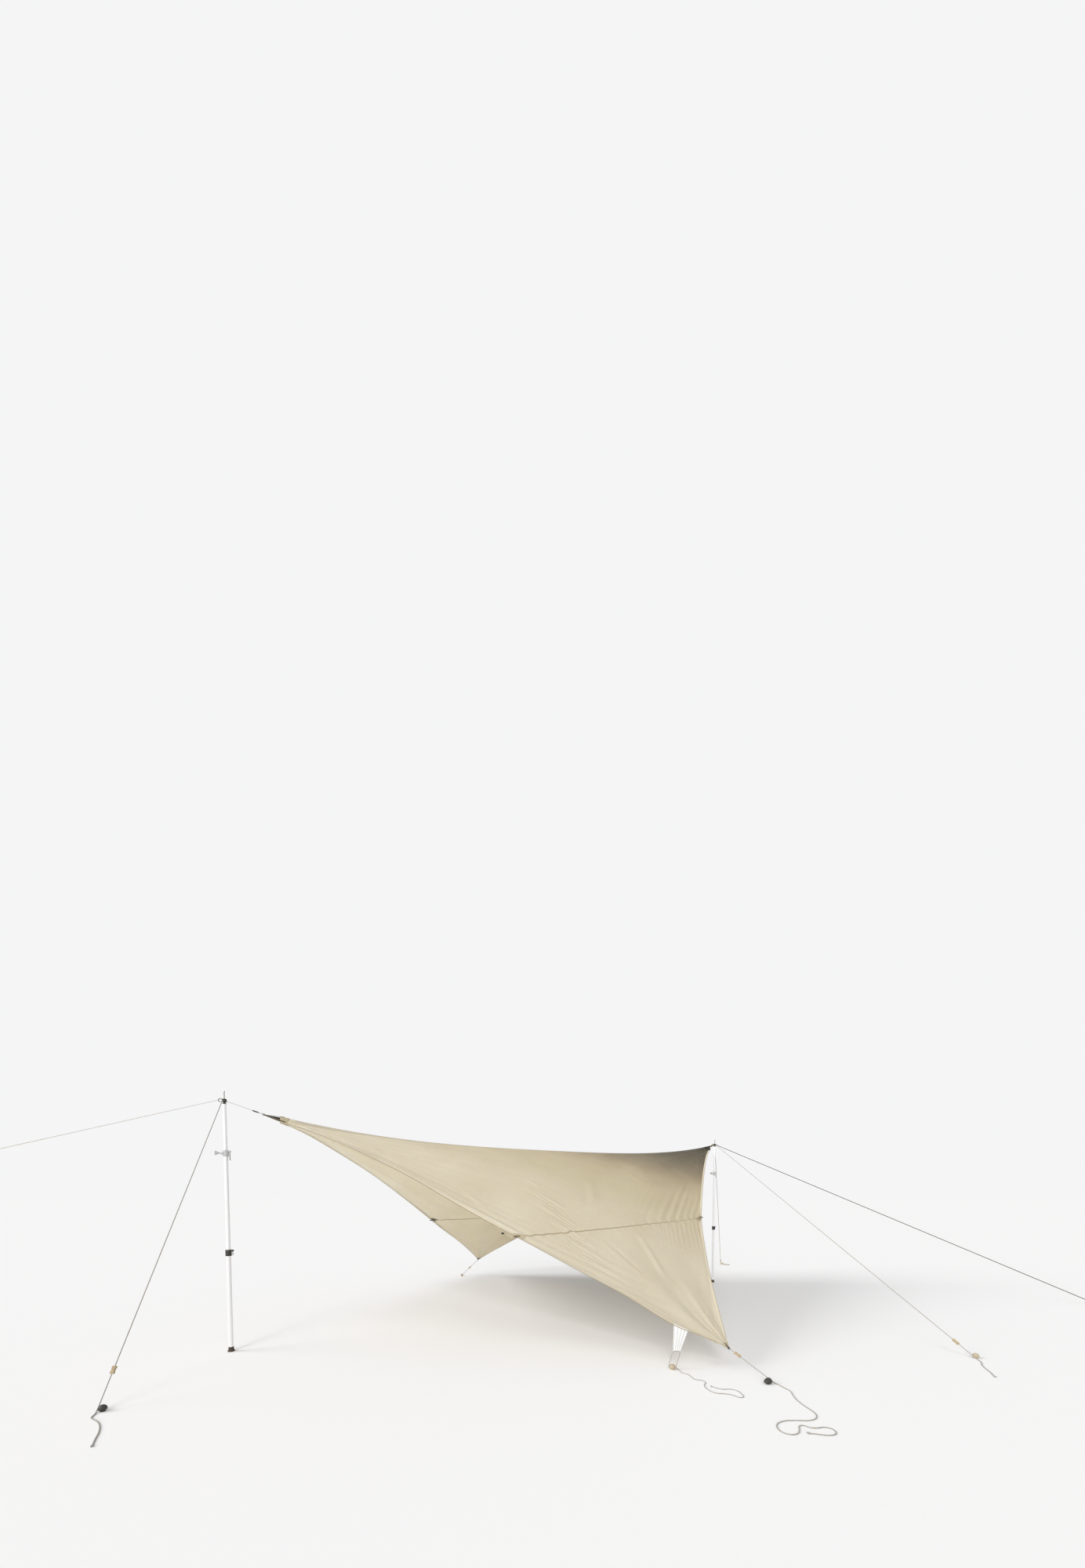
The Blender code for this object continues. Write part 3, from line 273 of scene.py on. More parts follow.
def painted_light_and_shade_tone(flat, painted_shade_tones):
    """Painted shade over the canopy, darkest at the ridge's far end, by a slanted measure from it: inwards along it,
    and down it. Painted light and painted pleat light and shade multiply it.
    """
    x, y = flat.parts()
    reach, span = 0.402 * RIDGE_LENGTH / 2, 2.5
    measure = abs(y) * 0.493 - x * 0.402 + reach + flat.speckle(1.3) * 0.14 - 0.07
    colours = node(flat.tree, "ValToRGB", {0: measure * (1 / span)})
    stops = colours.source.color_ramp.elements
    for place, colour in painted_shade_tones[1:-1]:
        stops.new(place / span).color = colour
    for stop, (place, colour) in zip(sorted(stops, key=lambda one: one.position), painted_shade_tones):
        stop.position, stop.color = place / span, colour
    # Painted light: brighter over the far wing's underside towards the ridge, the near wing's lit face written
    # darker, and darker towards the near wing's low corner.
    painted_light_gain = y.ramp(-2.7, -0.9, 0.90, 1.10) * y.ramp(-0.25, 0.1, 1.0, 0.855) * y.ramp(1.4, 2.7, 1.0, 0.94)
    return mixed(flat.tree, 1.0, colours, painted_light_gain * painted_pleat_light_and_shade(x, y), "MULTIPLY")


def woven_cloth(name, colour, dark, thread=0.0011, painted_shade_tones=None):
    """Plain weave: two crossed sets of threads, with slubs, cloudy fading and faint dirt, and on the canopy painted
    shade and light.
    """
    made = Finish(name, 0.88, Sheen_Weight=0.04, Sheen_Roughness=0.5, Specular_IOR_Level=0.2)
    flat = made.uv()
    threads = flat.stripes("X", 1 / thread / WAVES).maths("MAXIMUM", flat.stripes("Y", 1 / thread / WAVES))
    slubs = flat.mapped(Scale=(14.0, 160.0, 1.0)).speckle(1.0, 4.0)
    # On the canopy the colour under the wear is painted shade and light, darkest at the ridge's far end.
    tone = worn(colour if painted_shade_tones is None else painted_light_and_shade_tone(flat, painted_shade_tones), colour, dark, (flat.speckle(1.7, 4.0), 0.45),
                (slubs, 0.16), (flat.speckle(38.0), 0.18), (threads.ramp(1.0, 0.0), 0.25))
    relief = threads * 0.5 + slubs
    if painted_shade_tones is not None:
        relief += crease_field(flat) * 9.0
        made.set(Subsurface_Weight=0.85, Subsurface_Radius=(1.0, 0.86, 0.66), Subsurface_Scale=0.007)
    return made.done(tone, relief, 0.0003, 0.6)


def stitched_cloth(name, colour, dark, thread, rows=(0.008, 0.020), edge=None, painted_shade_tones=None):
    """A folded strip of the same cloth, with two lines of stitches. The UV is along and across."""
    made = Finish(name, 0.86, Sheen_Weight=0.15)
    flat = made.uv()
    across = flat.parts()[1]
    first, second = (abs(across - row).ramp(0.0012, 0.0006) for row in rows)
    mask = first.maths("MAXIMUM", second)
    stitches = mask * flat.stripes("X", 1 / 0.0052 / WAVES).ramp(0.25, 0.45)
    tone = colour
    # The ridge fold takes the canopy's painted shade and light.
    if painted_shade_tones is not None:
        ridge = node(flat.tree, "VectorMath", {0: flat, 1: (-RIDGE_LENGTH / 2, 0, 0)}, operation="ADD")
        tone = painted_light_and_shade_tone(ridge, painted_shade_tones)
    tone = worn(tone, colour, dark, (flat.mapped(Scale=(60.0, 900.0, 1.0)).speckle(1.0), 0.22),
                (flat.speckle(5.0), 0.3), (mask, 0.55))
    # The edge colour is a painted shadow line along the strip's outer rim.
    if edge is not None:
        tone = layered(tone, (across.ramp(0.0055, 0.0045), 1.0, edge))
    tone = layered(tone, (stitches, 1.0, thread))
    return made.done(tone, flat.speckle(70.0) * 0.6 - mask + stitches, 0.0006, 0.7)


def ribbed_webbing(name, colour, dark, rib=0.0016):
    """Flat woven webbing: cross ribs, a herringbone down its length, and worn edges."""
    made = Finish(name, 0.82, Sheen_Weight=0.2)
    flat = made.uv()
    ribs = flat.stripes("X", 1 / rib / WAVES)
    bones = flat.mapped(Rotation=(0, 0, 0.78)).stripes("Y", 1 / rib / 6.4, 0.4)
    tone = layered(dark, (ribs, 0.45, colour), (bones, 0.3, colour), (flat.speckle(240.0), 0.25, dark))
    return made.done(tone, ribs + bones, 0.0004, 0.6)


def braided_rope(name, colour, dark, fleck):
    """Braided rope: two crossed sets of strands round it, with flecks of a second yarn.

    The UV is the share of the way round, and the length in metres.
    """
    made = Finish(name, 0.78, Sheen_Weight=0.25)
    flat = made.uv()
    around, along = flat.parts()
    turn, pitch = around * (TURN * 4), along * (TURN / PLAIT)
    strands = (turn + pitch).maths("SINE").maths("MAXIMUM", (turn - pitch).maths("SINE"))
    yarn = flat.mapped(Scale=(8.0, 120.0, 1.0)).speckle(1.0)
    spots = flat.mapped(Scale=(3.0, 55.0, 1)).noise(1.0, 2.0).ramp(0.56, 0.62)
    tone = layered(dark, (strands.ramp(-0.4, 0.9), 1.0, colour), (yarn, 0.3, dark), (spots, 0.8, fleck))
    return made.done(tone, strands, 0.0006, 0.7)


def satin_metal(name, colour, dark, roughness, streak, metallic=0.85):
    """Drawn metal: long fine streaks, soft handling marks and a varied gloss."""
    made = Finish(name, roughness, metallic)
    place = made.place()
    lines, marks = place.mapped(Scale=streak).speckle(1.0, 4.0), place.speckle(9.0, 5.0)
    tone = layered(colour, (lines, 0.35, dark), (marks, 0.12, dark))
    return made.done(tone, lines, 0.0001, 0.25, marks.ramp(bottom=roughness - 0.06, top=roughness + 0.1))


def moulded(name, colour, dark, roughness, grain=420.0):
    """Moulded plastic or rubber: a fine spark-eroded grain, scuffs, and dust in broad patches."""
    made = Finish(name, roughness, Specular_IOR_Level=0.4)
    place = made.place()
    fine, broad = place.speckle(grain, 2.0), place.speckle(26.0, 5.0)
    tone = layered(colour, (broad, 0.25, dark), (fine, 0.15, dark))
    return made.done(tone, fine, 0.00012, 0.5, broad.ramp(bottom=roughness - 0.08, top=roughness + 0.12))


# ---- Shapes: points, faces of four corners, and a UV at each corner ----
def grid_shape(grid, uv=None, wrap=False, caps=False):
    """Cells between the rows and columns of a grid.

    Columns wrap round where asked. Caps draw the first and last rows in to their middles.
    """
    if caps:
        ends = [np.repeat(row.mean(0, keepdims=True), grid.shape[1], 0) for row in (grid[0], grid[-1])]
        grid = np.concatenate([ends[0][None], grid, ends[1][None]])
        if uv is not None:
            uv = np.concatenate([uv[:1], uv, uv[-1:]])
    rows, columns = grid.shape[:2]
    index = np.arange(rows * columns).reshape(rows, columns)
    if wrap:
        index = np.column_stack([index, index[:, :1]])
    wide = index.shape[1]
    if uv is None:
        uv = np.stack(np.meshgrid(np.linspace(0, 1, wide), np.linspace(0, 1, rows)), -1)
    corner = np.arange(rows * wide).reshape(rows, wide)
    order = (slice(None, -1), slice(None, -1)), (slice(None, -1), slice(1, None)), \
            (slice(1, None), slice(1, None)), (slice(1, None), slice(None, -1))
    faces = np.stack([index[o] for o in order], -1).reshape(-1, 4)
    places = np.stack([corner[o] for o in order], -1).reshape(-1)
    return grid.reshape(-1, 3), faces, uv.reshape(-1, 2)[places]


def turned_shape(profile, at=(0, 0, 0), sides=48, axis=UP, ribs=(0, 0.0), ring=False):
    """A profile of (radius, height) turned about an axis. Ribs add a cosine of the angle to the radius."""
    profile = np.array(profile, float)
    if ring:
        profile = np.vstack([profile, profile[:1]])
    axis = np.asarray(axis, float)
    side = normed(np.cross(axis, [0, 0, 1] if abs(axis[2]) < 0.9 else [1, 0, 0]))
    other = np.cross(axis, side)
    angle = np.linspace(0, TURN, sides, endpoint=False)
    radius = profile[:, :1] + np.where(profile[:, :1] > 1e-6, ribs[1], 0) * np.cos(ribs[0] * angle)[None, :]
    grid = (radius * np.cos(angle))[..., None] * side + (radius * np.sin(angle))[..., None] * other
    grid = grid + profile[:, 1, None, None] * axis + np.asarray(at, float)
    along = length_along(profile)
    around = np.linspace(0, TURN, sides + 1) * profile[:, 0].max()
    uv = np.stack(np.meshgrid(around, along), -1)
    return grid_shape(grid, uv, wrap=True)


def section(width, thickness, power, count):
    """A closed outline between an ellipse and a rectangle, by the power of its corners."""
    angle = np.linspace(0, TURN, count, endpoint=False)
    c, s = np.cos(angle), np.sin(angle)
    return np.stack([width / 2 * np.sign(c) * np.abs(c) ** (2 / power),
                     thickness / 2 * np.sign(s) * np.abs(s) ** (2 / power)], -1)


def directions(path, across, closed=False):
    """The way along a path at each point, and two directions square to it."""
    if closed:
        along = np.roll(path, -1, 0) - np.roll(path, 1, 0)
    else:
        along = np.gradient(path, axis=0)
    along = normed(along)
    across = np.broadcast_to(np.asarray(across, float), path.shape)
    side = normed(across - (across * along).sum(1, keepdims=True) * along)
    return along, side, np.cross(along, side)


def swept_shape(path, width, thickness, across, power=4.0, count=20, closed=False):
    """A section carried along a path, its width across the given direction. Sizes may vary along it."""
    path = np.asarray(path, float)
    _, side, face = directions(path, across, closed)
    unit = section(1, 1, power, count)
    width = np.broadcast_to(np.asarray(width, float), len(path))[:, None, None]
    thickness = np.broadcast_to(np.asarray(thickness, float), len(path))[:, None, None]
    grid = path[:, None] + side[:, None] * unit[:, :1] * width + face[:, None] * unit[:, 1:] * thickness
    along = length_along(path)
    if closed:
        grid = np.concatenate([grid, grid[:1]])
        along = np.append(along, along[-1] + np.linalg.norm(path[0] - path[-1]))
    lap = np.linspace(0, 1, count + 1) * 2 * float((width + thickness).mean())
    uv = np.stack([np.broadcast_to(along[:, None], (len(along), count + 1)),
                   np.broadcast_to(lap, (len(along), count + 1))], -1)
    return grid_shape(grid, uv, wrap=True, caps=not closed)


def added(name, data):
    """A new object in the scene."""
    made = bpy.data.objects.new(name, data)
    bpy.context.scene.collection.objects.link(made)
    return made


def piece(name, finish, *shapes, body="shelter", stands_for=(), slot=None, smooth=0.6):
    """One object from several shapes, its doubles merged and its faces turned outwards.

    It rides on the pitched shelter where no other body is given.
    """
    points, faces, uvs, start = [], [], [], 0
    for shape_points, shape_faces, shape_uv in shapes:
        points.append(shape_points)
        faces.append(shape_faces + start)
        uvs.append(shape_uv)
        start += len(shape_points)
    mesh = bpy.data.meshes.new(name)
    mesh.from_pydata(np.vstack(points), [], np.vstack(faces))
    layer = mesh.uv_layers.new(name="UVMap")
    layer.data.foreach_set("uv", np.vstack(uvs).astype(np.float32).ravel())
    work = bmesh.new()
    work.from_mesh(mesh)
    bmesh.ops.remove_doubles(work, verts=work.verts, dist=1e-6)
    bmesh.ops.dissolve_degenerate(work, edges=work.edges, dist=1e-7)
    bmesh.ops.recalc_face_normals(work, faces=work.faces)
    work.to_mesh(mesh)
    work.free()
    mesh.shade_smooth()
    mesh.set_sharp_from_angle(angle=smooth)
    mesh.materials.append(finish)
    made = added(name, mesh)
    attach(made, body)
    if stands_for:
        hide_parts(*stands_for)
    return made


# ---- Cloth ----
def smooth_through(points, spacing):
    """Points spaced along a Catmull-Rom curve that passes through the given ones."""
    p = np.array(points, float)
    p = np.vstack([2 * p[0] - p[1], p, 2 * p[-1] - p[-2]])
    u = np.linspace(0, 1, 12, endpoint=False)[:, None]
    runs = []
    for a, b, c, d in zip(p[:-3], p[1:-2], p[2:-1], p[3:]):
        runs.append(0.5 * (2 * b + (c - a) * u + (2 * a - 5 * b + 4 * c - d) * u**2
                           + (3 * b - a - 3 * c + d) * u**3))
    line = np.vstack([*runs, p[-2]])
    along = length_along(line)
    marks = np.linspace(0, along[-1], max(2, round(along[-1] / spacing)) + 1)
    return np.column_stack([np.interp(marks, along, line[:, k]) for k in range(line.shape[1])])


def hem_inside(offsets, share):
    """How far inside the straight line a hem runs, at each share of its length."""
    line = smooth_through(offsets, 0.01)
    return np.interp(share, line[:, 0], line[:, 1])


def crease(t, v, start, end, width, height):
    """A straight soft ridge from one (t, v) to another, fading out at both ends."""
    def flat(a, b):
        return np.stack([(a - 0.5) * (1 - b) * RIDGE_LENGTH, b * WING_REACH], -1)

    here, p, q = flat(t, v), flat(*start), flat(*end)
    way = (q - p) / np.linalg.norm(q - p)
    along = ((here - p) @ way) / np.linalg.norm(q - p)
    off = (here - p) @ np.array([-way[1], way[0]])
    window = np.exp(-((along - 0.5) / 0.42) ** 4)
    return height * window * (np.exp(-(off / width) ** 2) - 0.45 * np.exp(-((off - 1.7 * width) / width) ** 2))


def wing_surface(side, t, v):
    """One wing's middle surface: t runs along the ridge, and v from the ridge to the low corner.

    Straight rows join the two hems. The hems' cut, the ridge's sag, the blunt upper corners and
    the folds are added to them, in the same way as in the part's source.
    """
    a, b, c = RIDGE_A, RIDGE_B, CORNERS[side]
    t, v = t[..., None], v[..., None]
    line = a + (b - a) * t
    place = line + (c - line) * v
    normal = np.cross(b - a, c - a)
    for end, other, offsets, share in ((a, b, POLE_HEMS[side], 1 - t), (b, a, OPEN_HEMS[side], t)):
        inward = normed(np.cross(normal, c - end))
        inward *= np.sign(inward @ (other - end))
        place = place + inward * hem_inside(offsets, v) * share
        blunt = end + np.array([0, np.copysign(CORNER_SPREAD, c[1]), -CORNER_HEIGHT])
        shift = blunt - (end + (c - end) * CORNER_CUT)
        rise = np.where(v < CORNER_CUT, v / CORNER_CUT, np.exp(-(v - CORNER_CUT) / 0.04))
        place = place + shift * rise * np.clip(share, 0, None) ** 10
    sag = SAG * (1 - np.clip(np.abs(2 * t - 1), 0, 1) ** FULLNESS) * (1 - v) ** FADE
    height = main_folds(place, a, b, c, t, v) + fine_folds(side, place, t, v) - sag
    return place + height * UP


def main_folds(place, a, b, c, t, v):
    """Pleats that fan out from the three held corners, and the long fold beside the pole hem."""
    spread = (v / (v + t + 1e-6), v / (v + 1 - t + 1e-6), t)
    height = 0 * t
    for corner, fan, depth, count, reach in zip((a, b, c), spread, (0.011, 0.010, 0.012), (3.0, 2.5, 3.0),
                                                (1.1, 1.0, 0.9)):
        away = np.linalg.norm(place - corner, axis=-1, keepdims=True)
        fade = np.exp(-(away / reach) ** 2) * (1 - np.exp(-away / 0.15))
        height = height + depth * fade * np.cos(TURN * count * fan)
    inside = np.linalg.norm(np.cross(place - a, normed(c - a)), axis=-1, keepdims=True)
    crest = np.exp(-((inside - 0.11) / 0.07) ** 2)
    height = height + 0.012 * crest * np.sin(np.pi * np.clip(v / 0.55, 0, 1))
    return height * (1 - np.exp(-v / 0.12))


def fine_folds(side, place, t, v):
    """Finer folds than the solid has.

    Each is a cosine with a soft window: radial pleats at the corners, ripples beside the pole hem,
    puckers square to the seam that are strongest at its open end, straight creases in the cloth, and
    a slow wave all over.
    """
    a, b, c = RIDGE_A, RIDGE_B, CORNERS[side]
    t0, v0 = t[..., 0], v[..., 0]
    height = 0 * v0
    for corner, fan, depth, count, reach in ((a, v0 / (v0 + t0 + 1e-6), 0.0060, 9, 0.75),
                                             (b, v0 / (v0 + 1 - t0 + 1e-6), 0.0055, 8, 0.6),
                                             (c, t0, 0.0100, 6, 0.26)):
        away = np.linalg.norm(place - corner, axis=-1)
        fade = np.exp(-away / reach) * (1 - np.exp(-away / 0.10))
        height += depth * fade * np.cos(TURN * count * fan + 2.1 * np.sin(TURN * 1.7 * fan))
    inside = np.linalg.norm(np.cross(place - a, normed(c - a)), axis=-1)
    ripple = np.exp(-(inside / 0.24) ** 2) * np.sin(np.pi * np.clip(v0, 0, 1)) ** 0.7
    high, apart = (0.0042, 0.085) if side == 1 else (0.0090, 0.118)
    height += high * ripple * np.cos(TURN * (inside / apart + 0.35 * np.sin(5 * v0)))
    roll = np.exp(-((inside - 0.044) / 0.026) ** 2) * np.clip((0.62 - v0) / 0.15, 0, 1) * np.clip(v0 / 0.05, 0, 1)
    height += 0.0135 * roll
    outside = np.linalg.norm(np.cross(place - b, normed(c - b)), axis=-1)
    height += 0.0035 * np.exp(-(outside / 0.16) ** 2) * np.cos(TURN * (outside / 0.075 + 0.4 * np.sin(7 * v0)))
    across = (t0 - 0.5) * (1 - v0) * RIDGE_LENGTH
    from_seam = (v0 - SEAMS[side]) * WING_REACH
    pucker = np.cos(TURN * across / 0.118 + 1.9 * np.sin(across * 5.3)) + 0.5 * np.cos(TURN * across / 0.071 + 1.0)
    strong = 0.25 + np.clip((t0 - 0.45) / 0.45, 0, 1) ** 1.5
    height += 0.0046 * strong * pucker * np.exp(-np.abs(from_seam) / 0.055)
    gathers = np.clip((t0 - 0.58) / 0.17, 0, 1) * (1 - np.exp(-np.abs(from_seam) / 0.05))
    lean = across + np.where(from_seam < 0, 1.2, 0.80) * from_seam
    uneven = 0.72 + 0.28 * np.sin(17.0 * lean + 1.1) * np.cos(7.3 * lean)
    reach = 0.40 + 0.13 * np.sin(11.0 * lean + 0.4)
    leaning = np.exp(-(from_seam / reach) ** 2) * np.cos(TURN * lean / 0.128 + 1.7 * np.sin(6.1 * lean)) * uneven
    upright = np.exp(-(from_seam / 0.30) ** 2) * np.cos(TURN * lean / 0.064 + 1.4 * np.sin(11.0 * lean)) * uneven
    height += gathers * np.where(from_seam < 0, 0.0095 * leaning, 0.0055 * upright)
    for marks in NEAR_CREASES if side == 1 else FAR_CREASES:
        height += crease(t0, v0, *marks)
    height += 0.0030 * np.sin(3.1 * across + 4.0 * v0) * np.sin(7.3 * v0 * WING_REACH / 2 + 1.3 * across)
    return (height * (1 - np.exp(-v0 / 0.05)))[..., None]


def cloth(t, s):
    """A point on the whole canopy. s is v on the near wing, and -v on the far wing."""
    t, s = np.broadcast_arrays(np.asarray(t, float), np.asarray(s, float))
    near, far = wing_surface(1, t, np.abs(s)), wing_surface(-1, t, np.abs(s))
    return np.where(s[..., None] >= 0, near, far)


def cloth_up(t, s):
    """The direction square to the cloth, upwards, from small steps along and across it."""
    step = 0.002
    along = cloth(t + step, s) - cloth(t - step, s)
    across = cloth(t, s + step) - cloth(t, s - step)
    up = np.cross(along, across)
    return normed(up * np.sign(up[..., 2:]))


def on_cloth(t, s, lift):
    """Points of the cloth, lifted square to it."""
    t, s, lift = np.broadcast_arrays(t, s, lift)
    return cloth(t, s) + cloth_up(t, s) * lift[..., None]


def flat_uv(t, s):
    """Where a point of the canopy lies in the flat cut, in metres."""
    t, s = np.broadcast_arrays(t, s)
    return np.stack([(t - 0.5) * (1 - np.abs(s)) * RIDGE_LENGTH, s * WING_REACH], -1)


def canopy(finish):
    """The one sheet: a grid over both wings, with a wall of its thickness."""
    end = np.linspace(0, 0.03, 12)[:-1]
    t = np.concatenate([end, np.linspace(0.03, 0.97, 174), 1 - end[::-1]])[None, :]
    rows = np.concatenate([np.linspace(0.002, 0.034, 9), np.linspace(0.042, CLOTH_END, 101)])
    s = np.concatenate([-rows[::-1], [0], rows])[:, None]
    made = piece("canopy_cloth", finish, grid_shape(cloth(t, s), flat_uv(t, s)), slot="cotton_cloth",
                 stands_for=("near_main_panel", "near_corner_panel", "far_main_panel", "far_corner_panel"),
                 smooth=3.2)
    if made.data.polygons[1000].normal.z < 0:
        made.data.flip_normals()
    wall = made.modifiers.new("thickness", "SOLIDIFY")
    wall.thickness = 0.0011
    wall.offset = 0
    return made


def band_shape(t, s, thickness, wide, length, power=3.0):
    """A closed band in the cloth.

    t and s each give its two long edges, blended by the place in the section. Its lift is the
    section's height.
    """
    unit = section(1, 1, power, 18)
    share, lift = unit[:, 0][None, :] + 0.5, unit[:, 1][None, :] * thickness
    t = t[0] + (t[1] - t[0]) * share
    s = s[0] + (s[1] - s[0]) * share
    grid = on_cloth(t, s, lift)
    across = np.concatenate([share[0], share[0][:1]]) * wide
    uv = np.stack(np.meshgrid(across, length), -1)[..., ::-1]
    return grid_shape(grid, uv, wrap=True, caps=True)


def edge_share(v, inside):
    """The share of a row's length that lies a distance inside the hem."""
    return inside / (RIDGE_LENGTH * (1 - v) * 0.78 + 0.02)


def hems(finish):
    """The folded hems along the four edges."""
    v = np.concatenate([np.linspace(0.012, 0.058, 24), np.linspace(0.06, 0.9, 142),
                        np.linspace(0.905, 0.975, 22)])[:, None]
    inner, outer = np.minimum(edge_share(v, 0.024), 0.3), -edge_share(v, 0.0012)
    for side, wing in WINGS:
        for edge, t in (("pole", (outer, inner)), ("open", (1 - outer, 1 - inner))):
            shape = band_shape(t, (side * v, side * v), 0.0042, 0.025, v[:, 0] * HEM_LENGTH)
            yield piece(f"{wing}_{edge}_hem", finish, shape, slot="cotton_cloth", smooth=1.2)


def seams(finish, ridge_finish):
    """The felled seams across the wings, and the fold stitched along the ridge."""
    t = np.linspace(0.003, 0.997, 190)[:, None]
    half = 0.0065 / WING_REACH
    for side, wing in WINGS:
        low, high = side * (SEAMS[side] - half), side * (SEAMS[side] + half)
        shape = band_shape((t, t), (low + 0 * t, high + 0 * t), 0.0040, 0.013, t[:, 0] * SEAM_LENGTH, 2.6)
        yield piece(f"{wing}_seam", finish, shape, slot="cotton_cloth", smooth=1.2)
    t = np.linspace(0.02, 0.98, 190)[:, None]
    shapes = [band_shape((t, t), (side * 0.0012 + 0 * t, side * 0.0128 + 0 * t), 0.0032, 0.034,
                         t[:, 0] * RIDGE_LENGTH, 2.6) for side, _ in WINGS]
    yield piece("ridge_seam", ridge_finish, *shapes, slot="cotton_cloth", smooth=1.2)


def patch_shape(t, s, thickness):
    """A flat-edged patch on both faces of the cloth: a closed pillow over a grid of t and s."""
    rows, columns = t.shape
    edge = np.minimum.outer(np.minimum(np.arange(rows), np.arange(rows)[::-1]), np.full(columns, rows))
    edge = np.minimum(edge, np.minimum(np.arange(columns), np.arange(columns)[::-1])[None, :])
    lift = np.clip(edge / 1.5, 0, 1) * thickness / 2 + 0.0003
    top, bottom = on_cloth(t, s, lift), on_cloth(t, s, -lift)
    uv = flat_uv(t, s)
    sides = []
    for pick in ((0, slice(None)), (-1, slice(None)), (slice(None), 0), (slice(None), -1)):
        wall = np.stack([top[pick], bottom[pick]])
        sides.append(grid_shape(wall, np.stack([uv[pick], uv[pick] + 0.002])))
    return [grid_shape(top, uv), grid_shape(bottom, uv), *sides]


def tri_patch(side, edge, where, half, depth, rows=13, columns=13):
    """The grid of a triangle that stands on a hem: its base runs along the hem and it narrows inwards."""
    share = np.linspace(0, 1, rows)[:, None]
    along = np.linspace(-1, 1, columns)[None, :] * (1 - share * 0.93)
    v = where + along * half / HEM_LENGTH
    inside = edge_share(v, 0.002 + share * depth + 0 * along)
    t = inside if edge == "pole" else 1 - inside
    return np.broadcast_to(t, v.shape), side * v


def patches(dark, tan):
    """The reinforcing patches on the upper corners and the low corners."""
    s = np.linspace(-0.036, 0.036, 25)[None, :]
    for end, tone, reach in (("near", tan, 0.014), ("far", dark, 0.026)):
        t = np.linspace(0, 1, 21)[:, None] * reach * (1 - 0.8 * np.abs(s) / s.max())
        shapes = patch_shape(t if end == "near" else 1 - t, np.broadcast_to(s, t.shape), 0.0062)
        yield piece(f"{end}_pole_reinforcement", tone, *shapes, slot="reinforcing_cloth",
                    stands_for=(f"{end}_pole_patch",), smooth=0.8)
    t, v = np.meshgrid(np.linspace(-0.02, 1.02, 17), np.linspace(0.984, 0.9972, 15))
    for (side, wing), tone in zip(WINGS, (tan, dark)):
        yield piece(f"{wing}_wing_reinforcement", tone, *patch_shape(t, side * v, 0.0050),
                    slot="reinforcing_cloth", stands_for=(f"{wing}_wing_patch",), smooth=0.8)


def strap(points, width, thickness, across, spacing=0.003):
    """Webbing along a smooth path through the given points."""
    return swept_shape(smooth_through(np.vstack(points), spacing), width, thickness, across, 3.0, 16)


def fold(tip, out, up, reach, bend, start=np.pi / 2, count=11):
    """The half round at the end of a loop of webbing, past its tip."""
    turn = np.linspace(start, -start, count)[:, None]
    return tip + out * (reach + bend * np.cos(turn)) + up * (bend * np.sin(turn))


def corner_loops(webbing):
    """A short doubled webbing loop at each low corner, folded round its line."""
    for (side, wing), reach, start in zip(WINGS, (-0.0012, 0.018), (0.983, 0.990)):
        tip = CORNERS[side]
        way = normed(np.array(LINE_ENDS[f"{wing}_wing_line"][1]) - tip)
        up = normed(np.cross(way, np.cross(UP, way)))
        inner = cloth(0.5, side * start)
        path = [inner + up * 0.0036, tip + up * 0.0050, fold(tip, way, up, reach, 0.0050), tip - up * 0.0050,
                inner - up * 0.0036]
        yield piece(f"{wing}_corner_loop", webbing, strap(path, 0.015, 0.0016, np.cross(way, up)),
                    slot="black_nylon", smooth=0.9)


def seam_tabs(looks):
    """At each seam's end: a triangle of reinforcing cloth, with a folded webbing loop past the hem.

    The near wing's lower seam end also has a triangular flap that stands out past its hem.
    """
    share = np.linspace(0, 1, 13)[:, None]
    v = 0.516 + np.linspace(0, 1, 17)[None, :] * 0.046
    reach = 0.046 * np.interp(v, (0.516, 0.546, 0.562), (0.05, 1.0, 0.80))
    t = edge_share(v, 0.002 - share * reach)
    flap = patch_shape(t, np.broadcast_to(v, t.shape), 0.0026)
    yield piece("near_seam_flap", looks["tan_patch"], *flap, slot="reinforcing_cloth", smooth=0.8)
    v = 0.545
    tip = cloth(edge_share(v, -0.034), v)
    out, up = normed(cloth(edge_share(v, -0.060), v) - tip), cloth_up(np.array(0.0), np.array(v))
    path = [tip + up * 0.0030, fold(tip, out, up, 0.020, 0.0036), tip - up * 0.0030]
    yield piece("near_flap_loop", looks["black_webbing"], strap(path, 0.015, 0.0014, np.cross(out, up)),
                slot="black_nylon", smooth=0.9)
    for side, wing in WINGS:
        for edge, end, at, inwards in (("pole", "near", 0.0, 1), ("open", "far", 1.0, -1)):
            v = SEAMS[side]
            tone = {(1, "pole"): "tan_patch", (1, "open"): "seam_patch"}.get((side, edge), "patch")
            patch = patch_shape(*tri_patch(side, edge, v, 0.058, 0.080), 0.0058)
            yield piece(f"{wing}_seam_patch_{end}", looks[tone], *patch, slot="reinforcing_cloth", smooth=0.8)
            inner = on_cloth(np.array(at + inwards * edge_share(v, 0.034)), np.array(side * v), np.array(0.0035))
            rim, up = cloth(at, side * v), cloth_up(np.array(at), np.array(side * v))
            out = rim - inner
            out = normed(out - (out @ up) * up)
            path = [inner, rim + up * 0.0036, fold(rim, out, up, 0.0125, 0.0036, -np.pi / 2, 13),
                    rim - up * 0.0036, inner - up * 0.0072]
            yield piece(f"{wing}_seam_loop_{end}", looks["webbing" if side == 1 else "black_webbing"],
                        strap(path, 0.017, 0.0016, np.cross(out, up)), slot="black_nylon",
                        stands_for=(f"{wing}_seam_end_{end}",), smooth=0.9)


# ---- Webbing, buckle and tension tab ----
def upright_ring(middle, radius, count):
    """A circle in the upright plane along the ridge."""
    turn = np.linspace(0, TURN, count, endpoint=False)[:, None]
    return middle + radius * (np.cos(turn) * np.array([1, 0, 0]) + np.sin(turn) * UP)


